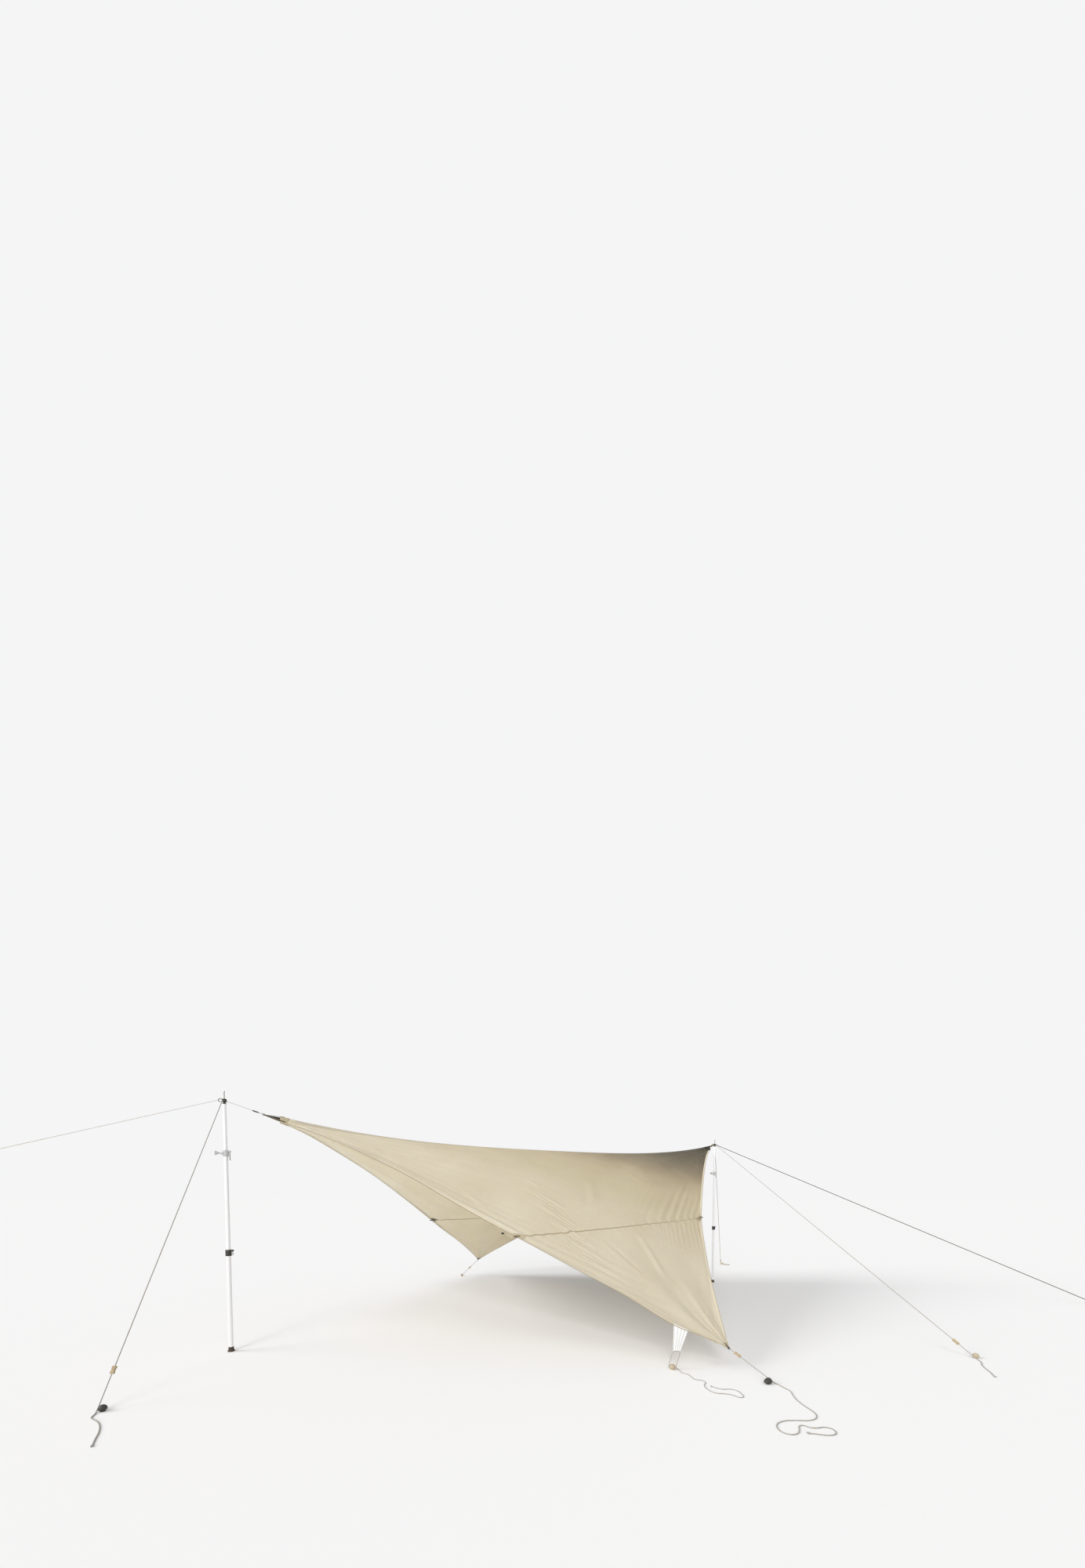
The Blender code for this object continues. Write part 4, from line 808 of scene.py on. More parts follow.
def ridge_gear(webbing, black_webbing, black):
    """The yoke at the near corner, its ladder buckle, and the strap at the far corner."""
    apex = RIDGE_A + np.array([-0.117, 0, 0.006])
    ends = [cloth(0.0064, 0.0) + np.array([0.0, 0, 0.0046]),
            cloth(0.006, 0.018) + np.array([0.0, -0.003, 0.0045]),
            cloth(0.006, -0.018) + np.array([0.0, 0.003, 0.0045])]
    shapes = []
    for k, end in enumerate(ends):
        sink = (end - apex) * 0.5 + np.array([0, 0, -0.0015])
        shapes.append(strap([apex, apex + sink, end], 0.013, 0.0019, ACROSS if k == 0 else (0, 0.5, 0.8), 0.006))
    shapes.append(swept_shape(upright_ring(apex, 0.0088, 40), 0.0075, 0.0030, ACROSS, 3.0, 14, closed=True))
    buckle_near = apex + np.array([-0.034, 0, 0.012])
    block = np.array([NEAR_X, 0, CAP_BLOCK_Z + CAP_BLOCK_H / 2])
    axis = normed(block - buckle_near)
    face = np.cross(axis, [0, 1, 0])
    bar = buckle_near + axis * 0.011
    path = [apex + axis * 0.004, apex + (bar - apex) * 0.5 + UP * 0.001, bar - axis * 0.004 + face * 0.003,
            bar + axis * 0.003 + face * 0.004, bar + axis * 0.005, bar + axis * 0.002 - face * 0.004,
            apex + (bar - apex) * 0.6 - UP * 0.004]
    shapes.append(strap(path, 0.019, 0.0016, ACROSS))
    piece("ridge_yoke", webbing, *shapes, stands_for=("near_yoke",), slot="tan_webbing", smooth=0.9)
    seam = RIDGE_A + np.array([0.010, 0, -0.023])
    path = apex + (seam - apex) * np.linspace(0.22, 1.0, 14)[:, None]
    gusset = swept_shape(path, np.linspace(0.005, 0.034, 14), 0.0022, (0, 0.35, 0.94), 4.0, 18)
    piece("yoke_gusset", black_webbing, gusset, slot="black_nylon", smooth=0.9)
    half_l, half_w = 0.020, 0.0145
    loop = section(2 * half_l, 2 * half_w, 5.0, 56)
    middle = buckle_near + axis * 0.022
    rim = middle + axis * loop[:, :1] + ACROSS * loop[:, 1:]
    shapes = [swept_shape(rim, 0.0065, 0.0050, face, 2.6, 14, closed=True)]
    for shift in (-0.0055, 0.0055):
        ends = [middle + axis * shift + ACROSS * w for w in (-half_w, 0, half_w)]
        shapes.append(swept_shape(smooth_through(ends, 0.004), 0.0056, 0.0042, face, 2.6, 12))
    piece("ladder_buckle", black, *shapes, stands_for=("ridge_buckle",), slot="black_nylon", smooth=0.9)
    start = RIDGE_B + np.array([0.0, 0, -0.010])
    stop = np.array([FAR_X - CAP_R - 0.0012, 0, CAP_BLOCK_Z + CAP_R])
    share = np.linspace(-0.45, 1.0, 40)[:, None]
    path = start + (stop - start) * share
    path[:, 2] -= 0.0025 * np.sin(np.pi * np.clip(share[:, 0], 0, 1))
    piece("far_corner_strap", webbing, swept_shape(path, 0.025, 0.0021, UP, 3.0, 18), stands_for=("far_strap",),
          slot="tan_webbing", smooth=0.9)
    return buckle_near + axis * 0.0443, axis


def tension_tab(finish, tunnel):
    """The tapered panel below the hem: folds run down it, deepest at its gathered foot."""
    centre, span, wide, high = 0.9069, 4.05, 0.11, 0.165
    top_v = centre + np.linspace(-0.5, 0.5, 41) * wide / span
    top = cloth(edge_share(top_v, 0.004), top_v) - UP * 0.0022
    level = normed((top[-1] - top[0]) * (1, 1, 0))
    low = TAB_FOOT + level * np.linspace(-0.5, 0.5, 41)[:, None] * 0.053
    share = np.linspace(0, 1, 34)[:, None, None]
    sheet = top[None] + (low - top)[None] * share
    way = np.cross(level, UP)
    across = np.linspace(0, 1, 41)[None, :, None]
    depth = 0.0035 + 0.0030 * share
    folds = depth * np.cos(TURN * 4.2 * across + 0.8 * share) * np.sin(np.pi * across) ** 0.4
    sheet = sheet + way * folds * np.sin(np.pi * np.clip(share * 0.9 + 0.08, 0, 1)) ** 0.5
    thin = 0.0016
    loop = np.concatenate([sheet + way * thin / 2, (sheet - way * thin / 2)[:, ::-1]], 1)
    around = np.concatenate([np.linspace(0, wide, 41), np.linspace(wide, 0, 41), [0.0]])
    uv = np.stack(np.meshgrid(around, np.linspace(0, high, 34)), -1)
    shapes = [grid_shape(loop, uv, wrap=True)]
    shapes += [grid_shape(np.stack([row[:41], row[41:][::-1]])) for row in (loop[0], loop[-1])]
    tab = piece("tension_tab_cloth", finish, *shapes, stands_for=("tension_tab",), slot="white_webbing",
                smooth=1.0)
    bead = swept_shape(low + UP * 0.002, 0.0085, 0.0062, way, 2.4, 14)
    head = swept_shape(top + UP * 0.004 - way * 0.001, 0.0130, 0.0030, UP, 3.0, 14)
    rim = piece("tension_tab_hems", tunnel, bead, head, slot="white_webbing", smooth=0.9)
    return tab, rim


# ---- Ropes ----
# Where each line starts and where it meets its peg
LINE_ENDS = {
    "near_side_line": ((-2.9707, -0.0166, 2.034), (-3.5505, -0.8598, 0.018)),
    "far_back_line": ((2.976, 0.0107, 2.034), (4.5858, 1.1163, 0.018)),
    "far_front_line": ((2.955, -0.018, 2.034), (2.0462, -3.1733, 0.018)),
    "far_long_line": ((2.9719, -0.0146, 2.034), (5.5875, -3.2396, 0.0276)),
    "near_wing_line": ((0.1941, -2.3373, 0.1668), (0.2453, -2.6399, 0.018)),
    "far_wing_line": ((0.1607, 2.2681, 0.2721), (-0.0559, 2.3919, 0.0335)),
}
OUTER_ENDS = (-3.0021, 0, 2.0356), (-4.25, 0, 1.563)
# Free rope on the ground past a peg, in millimetres
TAILS = {
    "near_side_line": mm(
        (-3552, -912), (-3556, -960), (-3528, -1005), (-3500, -1060), (-3478, -1130), (-3464, -1210),
        (-3458, -1290), (-3449, -1368)),
    "far_back_line": mm(
        (4618, 1134), (4662, 1124), (4700, 1092), (4712, 1048), (4692, 1006), (4650, 988), (4608, 1000),
        (4584, 1034)),
    "far_front_line": mm((2020, -3212), (1975, -3240), (1905, -3262), (1835, -3300), (1765, -3345), (1680, -3390)),
    "near_wing_line": mm(
        (252, -2690), (236, -2740), (222, -2790), (175, -2835), (132, -2882), (103, -2930), (82, -2972),
        (66, -3010), (40, -3050), (-10, -3075), (-70, -3068), (-130, -3030), (-190, -3000), (-255, -2998),
        (-300, -3025), (-322, -3066), (-305, -3104), (-262, -3116), (-215, -3098), (-180, -3075), (-150, -3082),
        (-142, -3118), (-112, -3138), (-74, -3150), (-54, -3180), (-72, -3214), (-112, -3222), (-150, -3204),
        (-185, -3168), (-215, -3140)),
}
# The tab's cord: from its peg, round the tab's foot and back to the peg, then on the ground
TAB_GUIDE = [
    *mm((-172.2, -2113.8, 18), (-160.9, -2123, 77.8), (-151.8, -2130.4, 124), (-140.6, -2138.7, 137),
        (-127.3, -2148.5, 137.5), (-114, -2158.2, 137), (-107.6, -2162.7, 124), (-117.6, -2154.6, 77.8),
        (-130.1, -2144.6, 18)),
    *((x, y, 0) for x, y in mm(
        (-124, -2175), (-145, -2212), (-130, -2250), (-144, -2300), (-160, -2343), (-130, -2378), (-135, -2415),
        (-180, -2440), (-210, -2480), (-224, -2530), (-210, -2572), (-175, -2598), (-150, -2635), (-146, -2680),
        (-112, -2688), (-84, -2650), (-68, -2605), (-92, -2566), (-130, -2548), (-150, -2510), (-160, -2475))),
]


def laid(guide, radius, spacing):
    """A rope's route through guide points, never below the ground, in a low hump where it crosses itself."""
    route = smooth_through(guide, spacing)
    place = np.arange(len(route))
    away = np.linalg.norm(route[:, None] - route, axis=-1)
    away[place > place[:, None] - 8] = np.inf
    height = (2 * radius + 0.0016) * np.clip(2.2 - away.min(1) / (1.7 * radius + spacing * 0.5), 0, 1)
    for _ in range(2):
        height = np.maximum(height, np.convolve(np.pad(height, 1, mode="edge"), (0.25, 0.5, 0.25), "valid"))
    route[:, 2] = np.maximum(route[:, 2], radius + 0.0001) + height
    return route


def even_line(route, spacing=0.005):
    """A route at even steps, its corners eased by averaging each point with its neighbours."""
    route = np.array(route, float)
    along = length_along(route)
    marks = np.linspace(0, along[-1], round(along[-1] / spacing) + 1)
    line = np.stack([np.interp(marks, along, route[:, k]) for k in range(3)], -1)
    for _ in range(3):
        line[1:-1] = 0.25 * line[:-2] + 0.5 * line[1:-1] + 0.25 * line[2:]
    return line


def rope_shape(fine, radius, across):
    """A round section along a route, its radius rippled by the braid's crossed strands."""
    _, side, face = directions(fine, across)
    along = length_along(fine)
    angle = np.linspace(0, TURN, 12, endpoint=False)
    lay = TURN * along[:, None] / PLAIT
    swell = radius * (0.955 + 0.045 * np.maximum(np.sin(3 * angle + lay), np.sin(3 * angle - lay)))
    grid = fine[:, None] + side[:, None] * (np.cos(angle) * swell)[..., None]
    grid = grid + face[:, None] * (np.sin(angle) * swell)[..., None]
    return grid_shape(grid, np.stack(np.meshgrid(np.linspace(0, 1, 13), along), -1), wrap=True, caps=True)


def knot_shape(at, way, radius):
    """An overhand knot: a trefoil of the rope, drawn tight about the way it leaves."""
    turn = np.linspace(0, TURN, 72, endpoint=False)[:, None]
    way = normed(way)
    side = normed(np.cross(way, UP if abs(way[2]) < 0.9 else (0, 1.0, 0)))
    top = np.cross(side, way)
    flat = (np.sin(turn) + 1.2 * np.sin(2 * turn)) * way + (np.cos(turn) - 1.2 * np.cos(2 * turn)) * side
    path = at + radius * 2.1 * (0.42 * flat - 0.30 * np.sin(3 * turn) * top)
    return swept_shape(path, 2 * radius, 2 * radius, way * 0.3 + top, 2.0, 12, closed=True)


def straight(start, stop, shares=(0, 0.25, 0.5, 0.75)):
    """Points of a straight run, at shares of its length."""
    return [start + (stop - start) * share for share in shares]


def route_of(name):
    """A line's route: straight to its peg, and where it has a tail, past the peg and along the ground."""
    start, stop = np.array(LINE_ENDS[name])
    if name not in TAILS:
        return straight(start, stop, (0, 0.25, 0.5, 0.75, 1))
    before = stop + normed(start - stop) * 0.03
    return straight(start, stop) + [*laid([before, stop, *((x, y, 0) for x, y in TAILS[name])], LINE_R, 0.018)]


def outer_route():
    """The line to the left of the view: straight, then an open eye in the upright plane."""
    start, stop = np.array(OUTER_ENDS)
    way = normed(stop - start)
    up = np.array([way[2], 0, -way[0]])
    turn = np.radians(np.linspace(40, 325, 8))[:, None]
    eye = stop + way * 0.020 + (up * np.sin(turn) - way * np.cos(turn)) * 0.020
    return straight(start, stop) + [*smooth_through([start + (stop - start) * 0.97, stop - way * 0.012, *eye], 0.008)]


def ropes(looks, tensioners, pegs, buckle_end, buckle_axis):
    """Every line's braided rope, the ridge cord's too, with a knot at the end of most lines."""
    routes = {name: (route_of(name), UP) for name in LINE_ENDS}
    routes["near_outer_line"] = outer_route(), ACROSS
    routes["tab_cord"] = laid(TAB_GUIDE, 0.0025, 0.014), UP
    dyes = {"far_long_line": "dark_rope", "near_outer_line": "pale_rope", "far_back_line": "tan_rope"}
    for name, (route, across) in routes.items():
        radius = {"far_long_line": 0.004, "tab_cord": 0.0025}.get(name, LINE_R)
        route = even_line(route)
        look = looks[dyes.get(name, "rope")]
        rope = piece(f"{name}_rope", look, rope_shape(route, radius, across), stands_for=(name,),
                     slot="olive_rope" if name == "far_long_line" else "grey_rope", smooth=3.2)
        stem = name.removesuffix("_line").removesuffix("_cord")
        on_it = [group[key] for group, key in ((tensioners, f"{stem}_slider"), (pegs, stem)) if key in group]
        held = name in ("far_long_line", "far_wing_line")
        if not held:
            way = route[-1] - route[-2]
            tip = route[-1] - normed(way) * radius * 1.5 + UP * radius * 0.6
            on_it.append(piece(f"{name}_knot", look, knot_shape(tip, way, radius), smooth=3.2))
        tuple(route[0])
        float(length_along(route)[-1])
        2 * radius
        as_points(route)
    stop_x = NEAR_X + CAP_R + 0.0014
    stop = buckle_end + buckle_axis / buckle_axis[0] * (stop_x - buckle_end[0])
    route = even_line([buckle_end, stop])
    rope = piece("ridge_cord_rope", looks["pale_rope"], rope_shape(route, LINE_R, ACROSS),
                 stands_for=("ridge_cord",), slot="tan_webbing", smooth=3.2)
    tuple(route[0])
    float(np.linalg.norm(route[-1] - route[0]))
    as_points(route)


# ---- Pegs ----
def ground_pegs(finish, dark):
    """Each peg's head: a domed cap over a neck, with moulded ribs and a raised rim."""
    profile = mm((0, 0), (13, 0), (13, 6.5), (15, 8.5), (20.5, 10.8), (22.1, 14), (22.5, 18), (21.9, 22.5),
                 (20.3, 26.8), (17.2, 31.5), (13.8, 35.2), (8.5, 38.5), (7.8, 37.9), (7, 38.5), (3.5, 39.7), (0, 40))
    made = {}
    for name, (x, y) in PEGS.items():
        head = turned_shape(profile, (x, y, 0), 60, ribs=(12, 0.00025))
        if name == "near_wing":
            points = head[0]
            points[:, 0] = np.where(points[:, 0] < x, x + (points[:, 0] - x) * 1.9, points[:, 0])
        look = dark if name in ("near_wing", "near_side") else finish
        made[name] = piece(f"{name}_peg_head", look, head, stands_for=(f"{name}_peg",), slot="beige_nylon",
                           smooth=0.7)
    return made


# ---- Poles ----
def tube_shape(radius, low, high, x):
    """A tube with its rims rounded over."""
    inner, lip = radius - WALL, WALL * 0.35
    profile = ((inner, low + lip), (inner + lip, low), (radius - lip, low), (radius, low + lip),
               *((radius, z) for z in np.linspace(low + 0.01, high - 0.01, 12)), (radius, high - lip),
               (radius - lip, high), (inner + lip, high), (inner, high - lip))
    return turned_shape(profile, (x, 0, 0), 48, ring=True)


def foot_shape(x):
    """The rubber foot, with three grooves round its collar."""
    collar = [(radius, low + step) for low in (20.5, 25.5, 30.5)
              for radius, step in ((19.3, 0), (18.4, 0.8), (19.3, 1.6))]
    profile = mm((0, 0), (23, 0), (24.4, 0.6), (25, 2.6), (25, 8), (24.3, 9.6), (21.5, 15), (20.3, 16.6),
                 (19.3, 18.5), *collar, (19.3, 36.8), (18.4, 38), (16.3, 38), (16.3, 8), (0, 8))
    return turned_shape(profile, (x, 0, 0), 60)


def clamp_shapes(tube, throat, at, boss):
    """A collar with beads and ribs, two rounded ears, a headed pin, and the boss for the thumb screw."""
    wide, low, high = tube + COLLAR_WALL, -0.025, 0.025
    profile = ((tube + GAP, low), (wide - 0.0025, low), (wide - 0.0008, low + 0.0008), (wide, low + 0.0026),
               (wide, low + 0.0060), (wide - 0.0010, low + 0.0070), (wide - 0.0010, high - 0.0150),
               (wide, high - 0.0140), (wide, high - 0.0026), (wide - 0.0008, high - 0.0008), (wide - 0.0025, high),
               (throat + GAP, high), (throat + GAP, 0), (tube + GAP, 0))
    shapes = [turned_shape(profile, at, 72, ring=True)]
    at = np.asarray(at, float)
    pin = at + np.array([wide + PIN_OUT, 0, PIN_UP])
    for side in (-1, 1):
        y = side * 0.0108
        reaches = (-0.0125, -0.0045, 0.0015, 0.0045, 0.0062)
        path = smooth_through([pin + np.array([reach, y, 0]) for reach in reaches], 0.0012)
        share = np.linspace(0, 1, len(path))
        height = 0.0130 * np.sqrt(np.clip(1 - np.clip((share - 0.66) / 0.345, 0, 1) ** 2, 0.02, 1))
        shapes.append(swept_shape(path, height, 0.0039, UP, 4.0, 18))
        shapes.append(turned_shape(((0, 0), (0.0042, 0), (0.0042, 0.0008), (0.0034, 0.0016), (0, 0.0018)),
                                   pin + np.array([0, side * 0.0128, 0]), 24, (0, side, 0)))
    shapes.append(turned_shape(((0, -0.0128), (0.0030, -0.0128), (0.0030, 0.0128), (0, 0.0128)), pin, 24, (0, 1, 0)))
    for turn in np.radians(np.linspace(60, 300, 9)):
        spoke = np.array([np.cos(turn), np.sin(turn), 0])
        path = [at + spoke * (wide - 0.0014) + UP * z for z in np.linspace(-0.016, 0.008, 7)]
        size = 0.0020 * np.sqrt(np.clip(1 - np.linspace(-1, 1, 7) ** 4, 0.05, 1))
        if not (boss and abs(turn - np.pi) < 0.9):
            shapes.append(swept_shape(path, size, size, np.cross(UP, spoke), 2.4, 10))
    if boss:
        cone = ((0.0165, wide - 0.006), (0.0168, wide - 0.002), (0.0160, wide), (0.0148, wide + 0.002),
                (0.0110, wide + 0.011), (0.0093, wide + 0.0175), (0.0085, wide + 0.0193), (0.0078, wide + 0.0200),
                (0.0044, wide + 0.0200), (0.0038, wide + 0.0194), (0.0038, wide + 0.0020), (0.0038, wide - 0.006))
        shapes.append(turned_shape(cone, at, 48, (-1, 0, 0), ring=True))
    return shapes


def lever_shapes(tube, length, at):
    """A cam lever: a round hub on the pin, then a bowed blade with a turned-out lip and grip ridges."""
    pin = np.asarray(at, float) + np.array([tube + COLLAR_WALL + PIN_OUT, 0, PIN_UP])
    hub = ((0.0033, -0.0083), (0.0060, -0.0083), (0.0065, -0.0078), (0.0065, 0.0078), (0.0060, 0.0083),
           (0.0033, 0.0083))
    shapes = [turned_shape(hub, pin, 32, (0, 1, 0), ring=True)]
    share = np.linspace(0, 1, 26)
    z = -0.001 - share * (length - 0.001)
    x = -0.0035 + 0.0012 * np.sin(np.pi * share) + 0.0042 * np.clip((share - 0.8) / 0.2, 0, 1) ** 2
    path = pin + np.stack([x, 0 * x, z], -1)
    wide = 0.0168 - 0.0022 * np.sin(np.pi * share) ** 2
    thick = 0.0052 - 0.0014 * share
    wide[-1], thick[-1] = wide[-1] * 0.86, thick[-1] * 0.6
    shapes.append(swept_shape(path, wide, thick, (0, 1, 0), 5.0, 24))
    for k in range(5):
        here = pin + np.array([0.0030 + 0.0002 * k, 0, -length * (0.62 + 0.055 * k)])
        ends = [here + np.array([-0.0040, y, 0]) for y in (-0.0055, 0, 0.0055)]
        shapes.append(swept_shape(smooth_through(ends, 0.002), 0.0016, 0.0022, UP, 2.4, 10))
    return shapes


def knob_shapes(tube, at):
    """The thumb screw: a fluted conical knob with a dished face, on a threaded stem."""
    wide = tube + COLLAR_WALL
    head = wide + 0.026
    axis = (-1, 0, 0)
    pitch = np.arange(wide + 0.0023, head, 0.0005)
    radius = 0.0034 - 0.0004 * (np.arange(len(pitch)) % 2)
    stem = ((0, pitch[0]), *zip(radius, pitch), (0, head))
    cone = mm((0, 0), (6.6, 0), (7.8, 1), (9.2, 4), (12.5, 11), (15.2, 17), (16.6, 21), (18, 23.5), (18, 25.2),
              (16.8, 26.6), (12, 26.8), (10.8, 25.4), (0, 25.4)) + (0, head)
    return [turned_shape(stem, at, 20, axis), turned_shape(cone, at, 72, axis, ribs=(18, 0.00045))]


def cap_shapes(bore, x, outer):
    """The plug, flange, waist and block that close the tube, with the eye on its outer side."""
    low, block = TUBE_TOP_Z + GAP, CAP_BLOCK_Z
    top = block + CAP_BLOCK_H
    plug = bore - GAP
    profile = ((0, low - 0.030), (plug - 0.001, low - 0.030), (plug, low - 0.028), (plug, low), (0.0128, low),
               (0.0135, low + 0.0007), (0.0135, low + 0.0055), (0.0128, low + 0.0063), (0.0082, low + 0.0068),
               (0.0075, low + 0.0080), (0.0075, block - 0.0012), (0.0084, block), (0.0148, block),
               (0.0162, block + 0.0008), (CAP_R, block + 0.0022), (CAP_R, block + 0.0070), (0.0158, block + 0.0082),
               (0.0158, top - 0.0092), (CAP_R, top - 0.0080), (CAP_R, top - 0.0034), (0.0158, top - 0.0012),
               (0.0138, top), (0.0043, top), (0.0043, top - 0.015), (0, top - 0.015))
    shapes = [turned_shape(profile, (x, 0, 0), 60)]
    middle = np.array([x + outer * (CAP_R + RING_R - 0.0024), 0, block + CAP_BLOCK_H / 2])
    return shapes + [swept_shape(upright_ring(middle, RING_R, 48), 0.0047, 0.0047, ACROSS, 2.0, 14, closed=True)]


def spike_shape(x):
    """The steel pin with its rounded, stepped tip."""
    low = CAP_BLOCK_Z + CAP_BLOCK_H - 0.015 + GAP
    top = low + 0.082 - GAP
    foot = mm((0, 0), (3.6, 0), (4, 0.6)) + (0, low)
    tip = mm((4, 18.5), (4.3, 18), (5.4, 16), (5.5, 15), (5.5, 5.5), (5.3, 4), (4.6, 2), (3.3, 0.6), (1.6, 0.1),
             (0, 0)) * (1, -1) + (0, top)
    return turned_shape(np.vstack([foot, tip]), (x, 0, 0), 36)


def poles(look):
    """Both poles, each fitting on the body that it moves with."""
    for side, x, outer in (("near", NEAR_X, -1), ("far", FAR_X, 1)):
        low, high = (x, 0, LOWER_JOINT_Z), (x, 0, UPPER_JOINT_Z)
        tubes = [[tube_shape(radius, start, stop, x)] for radius, start, stop in (
            (LOWER_R, 0.008 + GAP, LOWER_JOINT_Z - GAP), (MIDDLE_R, LOWER_JOINT_Z - OVERLAP, UPPER_JOINT_Z - GAP),
            (UPPER_R, UPPER_JOINT_Z - OVERLAP, TUBE_TOP_Z))]
        for name, finish, body, shapes, slot in (
                ("foot", "rubber", "lower", [foot_shape(x)], "brown_rubber"),
                ("lower_tube", "tube", "lower", tubes[0], "anodised_tube"),
                ("middle_tube", "tube", "middle", tubes[1], "anodised_tube"),
                ("upper_tube", "tube", "", tubes[2], "anodised_tube"),
                ("lower_clamp", "black", "lower", clamp_shapes(LOWER_R, MIDDLE_R, low, False), "black_nylon"),
                ("upper_clamp", "grey", "middle", clamp_shapes(MIDDLE_R, UPPER_R, high, True), "grey_nylon"),
                ("lower_lever", "black", "lower_lever", lever_shapes(LOWER_R, 0.038, low), "black_nylon"),
                ("upper_lever", "grey" if side == "far" else "black", "upper_lever",
                 lever_shapes(MIDDLE_R, 0.073, high), "black_nylon"),
                ("clamp_knob", "grey", "knob", knob_shapes(MIDDLE_R, high), "grey_nylon"),
                ("cap", "black", "", cap_shapes(UPPER_R - WALL, x, outer), "black_nylon"),
                ("spike", "steel", "", [spike_shape(x)], "plated_steel")):
            piece(f"{side}_{name}_shown", look[finish], *shapes, body=f"{side}_{body}" if body else "shelter",
                  stands_for=(f"{side}_{name}",), slot=slot)


# ---- Line tensioners ----
def tensioners(look):
    """The CAD tensioners keep their shape, in a moulded finish."""
    made = {}
    for name in ("near_side_slider", "far_back_slider", "far_front_slider", "near_wing_slider", "far_wing_slider"):
        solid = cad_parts[name]
        solid.data.materials.clear()
        solid.data.materials.append(look["tan_plastic"])
        made[name] = solid
    return made


# ---- Floor, light and camera ----
def floor_and_light():
    """A pale floor, an even dome, and four lamps: two from the front left, one from the back left, one high."""
    size = 400.0
    mesh = bpy.data.meshes.new("floor")
    mesh.from_pydata([(-size, -size, 0), (size, -size, 0), (size, size, 0), (-size, size, 0)], [], [(0, 1, 2, 3)])
    floor = added("floor", mesh)
    plain = Finish("studio_floor", 1.0, Specular_IOR_Level=0.0, Base_Color=linear(250, 250, 251))
    mesh.materials.append(plain.material)

    world = bpy.data.worlds.new("studio")
    bpy.context.scene.world = world
    world.use_nodes = True
    tree = world.node_tree
    tree.nodes.clear()
    path = node(tree, "LightPath").source
    seen, glossy, through = (Wire(tree, path, f"Is {kind} Ray") for kind in ("Camera", "Glossy", "Transmission"))
    seen = seen.maths("MAXIMUM", glossy.maths("MAXIMUM", through))
    dome = node(tree, "Background", {"Color": (*LAMP_COLOUR, 1), "Strength": 0.455})
    backdrop = node(tree, "Background", {"Color": linear(245, 245, 246), "Strength": 1.0})
    node(tree, "OutputWorld", {"Surface": node(tree, "MixShader", {0: seen, 1: dome, 2: backdrop})})

    for name, energy, angle, way in (("front_lamp", 1.10, 30, (0.64, 0.67, -0.38)),
                                     ("left_lamp", 1.62, 30, (0.815, -0.33, -0.47)),
                                     ("high_lamp", 0.32, 30, (0.321, 0.383, -0.866)),
                                     ("keen_lamp", 0.25, 6, (0.527, 0.628, -0.574))):
        lamp = bpy.data.lights.new(name, "SUN")
        lamp.energy, lamp.angle, lamp.color = energy, np.radians(angle), LAMP_COLOUR
        added(name, lamp).rotation_euler = Vector(way).to_track_quat("-Z", "Y").to_euler()


def camera():
    """The photo's view."""
    data = bpy.data.cameras.new("photo_view")
    data.sensor_width, data.lens, data.shift_y, data.clip_end = 36, 10.355, 0.2754, 1000
    view = added("photo_view", data)
    view.location = (-2.633, -4.443, 1.2568)
    view.rotation_euler = (np.radians(90 - 2.29), 0, np.radians(-30.74))
    bpy.context.scene.camera = view


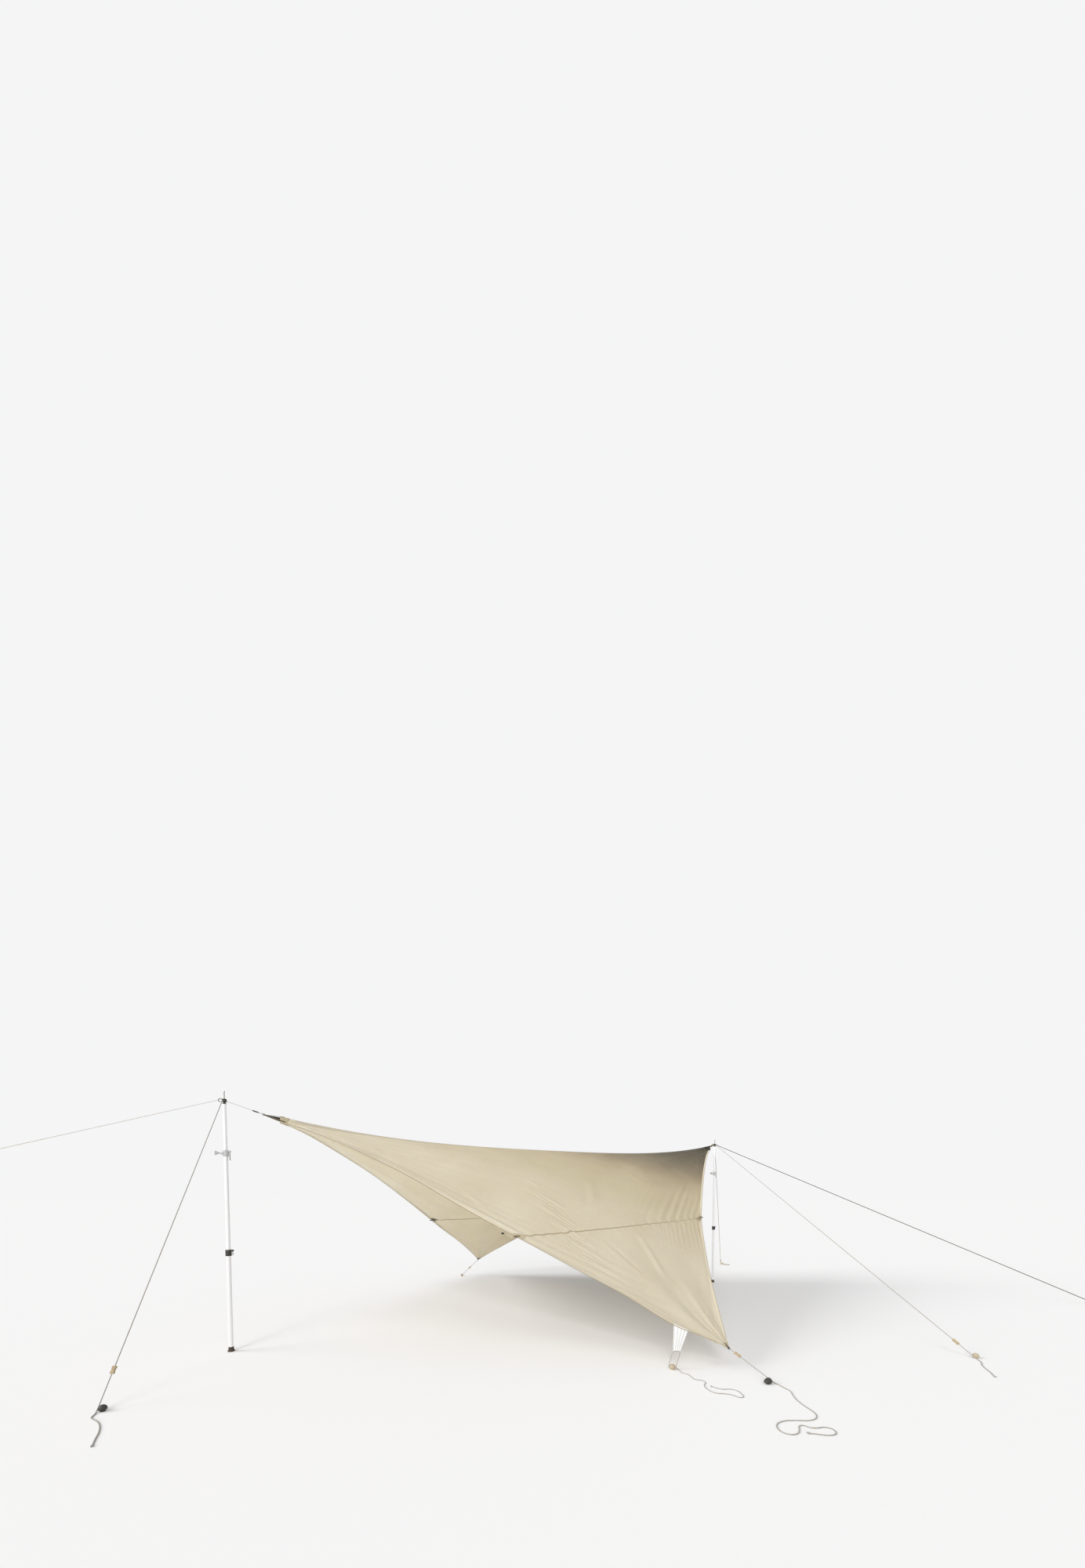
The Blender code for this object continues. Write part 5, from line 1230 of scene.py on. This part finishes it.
# Each finish: its maker, its name, its colours from 0 to 255, and what else its maker needs
FINISHES = {
    "patch": (woven_cloth, "grey_reinforcement", ((148, 140, 120), (112, 105, 88)), 0.0016),
    "tan_patch": (woven_cloth, "tan_reinforcement", ((206, 194, 168), (176, 162, 134)), 0.0016),
    "seam_patch": (woven_cloth, "seam_reinforcement", ((172, 161, 138), (140, 130, 108)), 0.0016),
    "dark_patch": (woven_cloth, "dark_reinforcement", ((70, 68, 61), (50, 48, 43)), 0.0016),
    "white": (woven_cloth, "white_tab_cloth", ((240, 240, 239), (214, 214, 212)), 0.0013),
    "seam": (stitched_cloth, "seam_cloth", ((178, 162, 126), (136, 120, 88), (200, 190, 166)), (0.003, 0.010)),
    "white_hem": (ribbed_webbing, "white_edge", ((246, 246, 244), (220, 219, 214))),
    "webbing": (ribbed_webbing, "tan_webbing_weave", ((142, 126, 96), (92, 78, 54))),
    "black_webbing": (ribbed_webbing, "black_webbing_weave", ((58, 56, 50), (26, 25, 22))),
    "rope": (braided_rope, "grey_braid", ((188, 187, 181), (132, 130, 124), (176, 148, 98))),
    "pale_rope": (braided_rope, "pale_braid", ((236, 235, 230), (206, 204, 198), (214, 200, 168))),
    "dark_rope": (braided_rope, "olive_braid", ((62, 55, 38), (28, 24, 16), (112, 100, 70))),
    "tan_rope": (braided_rope, "tan_braid", ((176, 156, 118), (110, 92, 62), (200, 190, 168))),
    "tube": (satin_metal, "satin_tube", ((244, 244, 245), (220, 221, 224)), 0.36, (90.0, 90.0, 1.5), 0.3),
    "steel": (satin_metal, "plated_pin", ((188, 188, 186), (140, 139, 136)), 0.3, (60.0, 60.0, 20.0)),
    "black": (moulded, "black_moulding", ((62, 62, 56), (40, 40, 36)), 0.5),
    "grey": (moulded, "grey_moulding", ((204, 204, 203), (172, 172, 171)), 0.5),
    "rubber": (moulded, "brown_moulding", ((84, 72, 62), (56, 47, 40)), 0.72, 260.0),
    "tan_plastic": (moulded, "tan_moulding", ((176, 158, 124), (140, 122, 92)), 0.55),
    "beige": (moulded, "beige_moulding", ((190, 176, 150), (152, 138, 112)), 0.55),
}
# Painted shade over the canopy, darkest at the ridge's far end, by the slanted measure from it
PAINTED_SHADE_TONES = (
    (0.0, (52, 50, 45)), (0.16, (78, 74, 64)), (0.42, (98, 93, 79)), (0.73, (132, 124, 106)),
    (0.86, (151, 141, 120)), (1.0, (172, 161, 138)), (1.2, (187, 176, 152)), (1.45, (196, 186, 162)),
    (1.7, (204, 195, 175)), (1.95, (212, 203, 184)), (2.5, (216, 208, 192)),
)


def finishes():
    """Every material, by the word that the pieces use for it."""
    painted_shade_tones = tuple((place, linear(*levels)) for place, levels in PAINTED_SHADE_TONES)
    look = {word: make(name, *(linear(*levels) for levels in colours), *rest)
            for word, (make, name, colours, *rest) in FINISHES.items()}
    look["cloth"] = woven_cloth("cotton_canvas", linear(223, 214, 195), linear(201, 190, 168), painted_shade_tones=painted_shade_tones)
    # The hem's edge colour is a painted shadow line along its outer rim.
    look["hem"] = stitched_cloth("hem_cloth", linear(222, 212, 190), linear(190, 176, 146), linear(236, 229, 212),
                                 edge=linear(160, 147, 118))
    look["ridge_fold"] = stitched_cloth("ridge_fold_cloth", linear(212, 202, 180), linear(176, 163, 136),
                                        linear(190, 176, 146), (0.0295, 0.0315), painted_shade_tones=painted_shade_tones)
    return look


def main():
    look = finishes()
    camera()
    floor_and_light()
    cloth_piece = canopy(look["cloth"])
    edges = [*hems(look["hem"]), *seams(look["seam"], look["ridge_fold"])]
    corner_patches = [*patches(look["dark_patch"], look["tan_patch"])]
    tabs = [*seam_tabs(look), *corner_loops(look["black_webbing"])]
    buckle_end, buckle_axis = ridge_gear(look["webbing"], look["black_webbing"], look["black"])
    tab, rim = tension_tab(look["white"], look["white_hem"])
    pegs = ground_pegs(look["beige"], look["black"])
    ropes(look, tensioners(look), pegs, buckle_end, buckle_axis)
    poles(look)


main()
bpy.context.scene.view_settings.view_transform = "Standard"
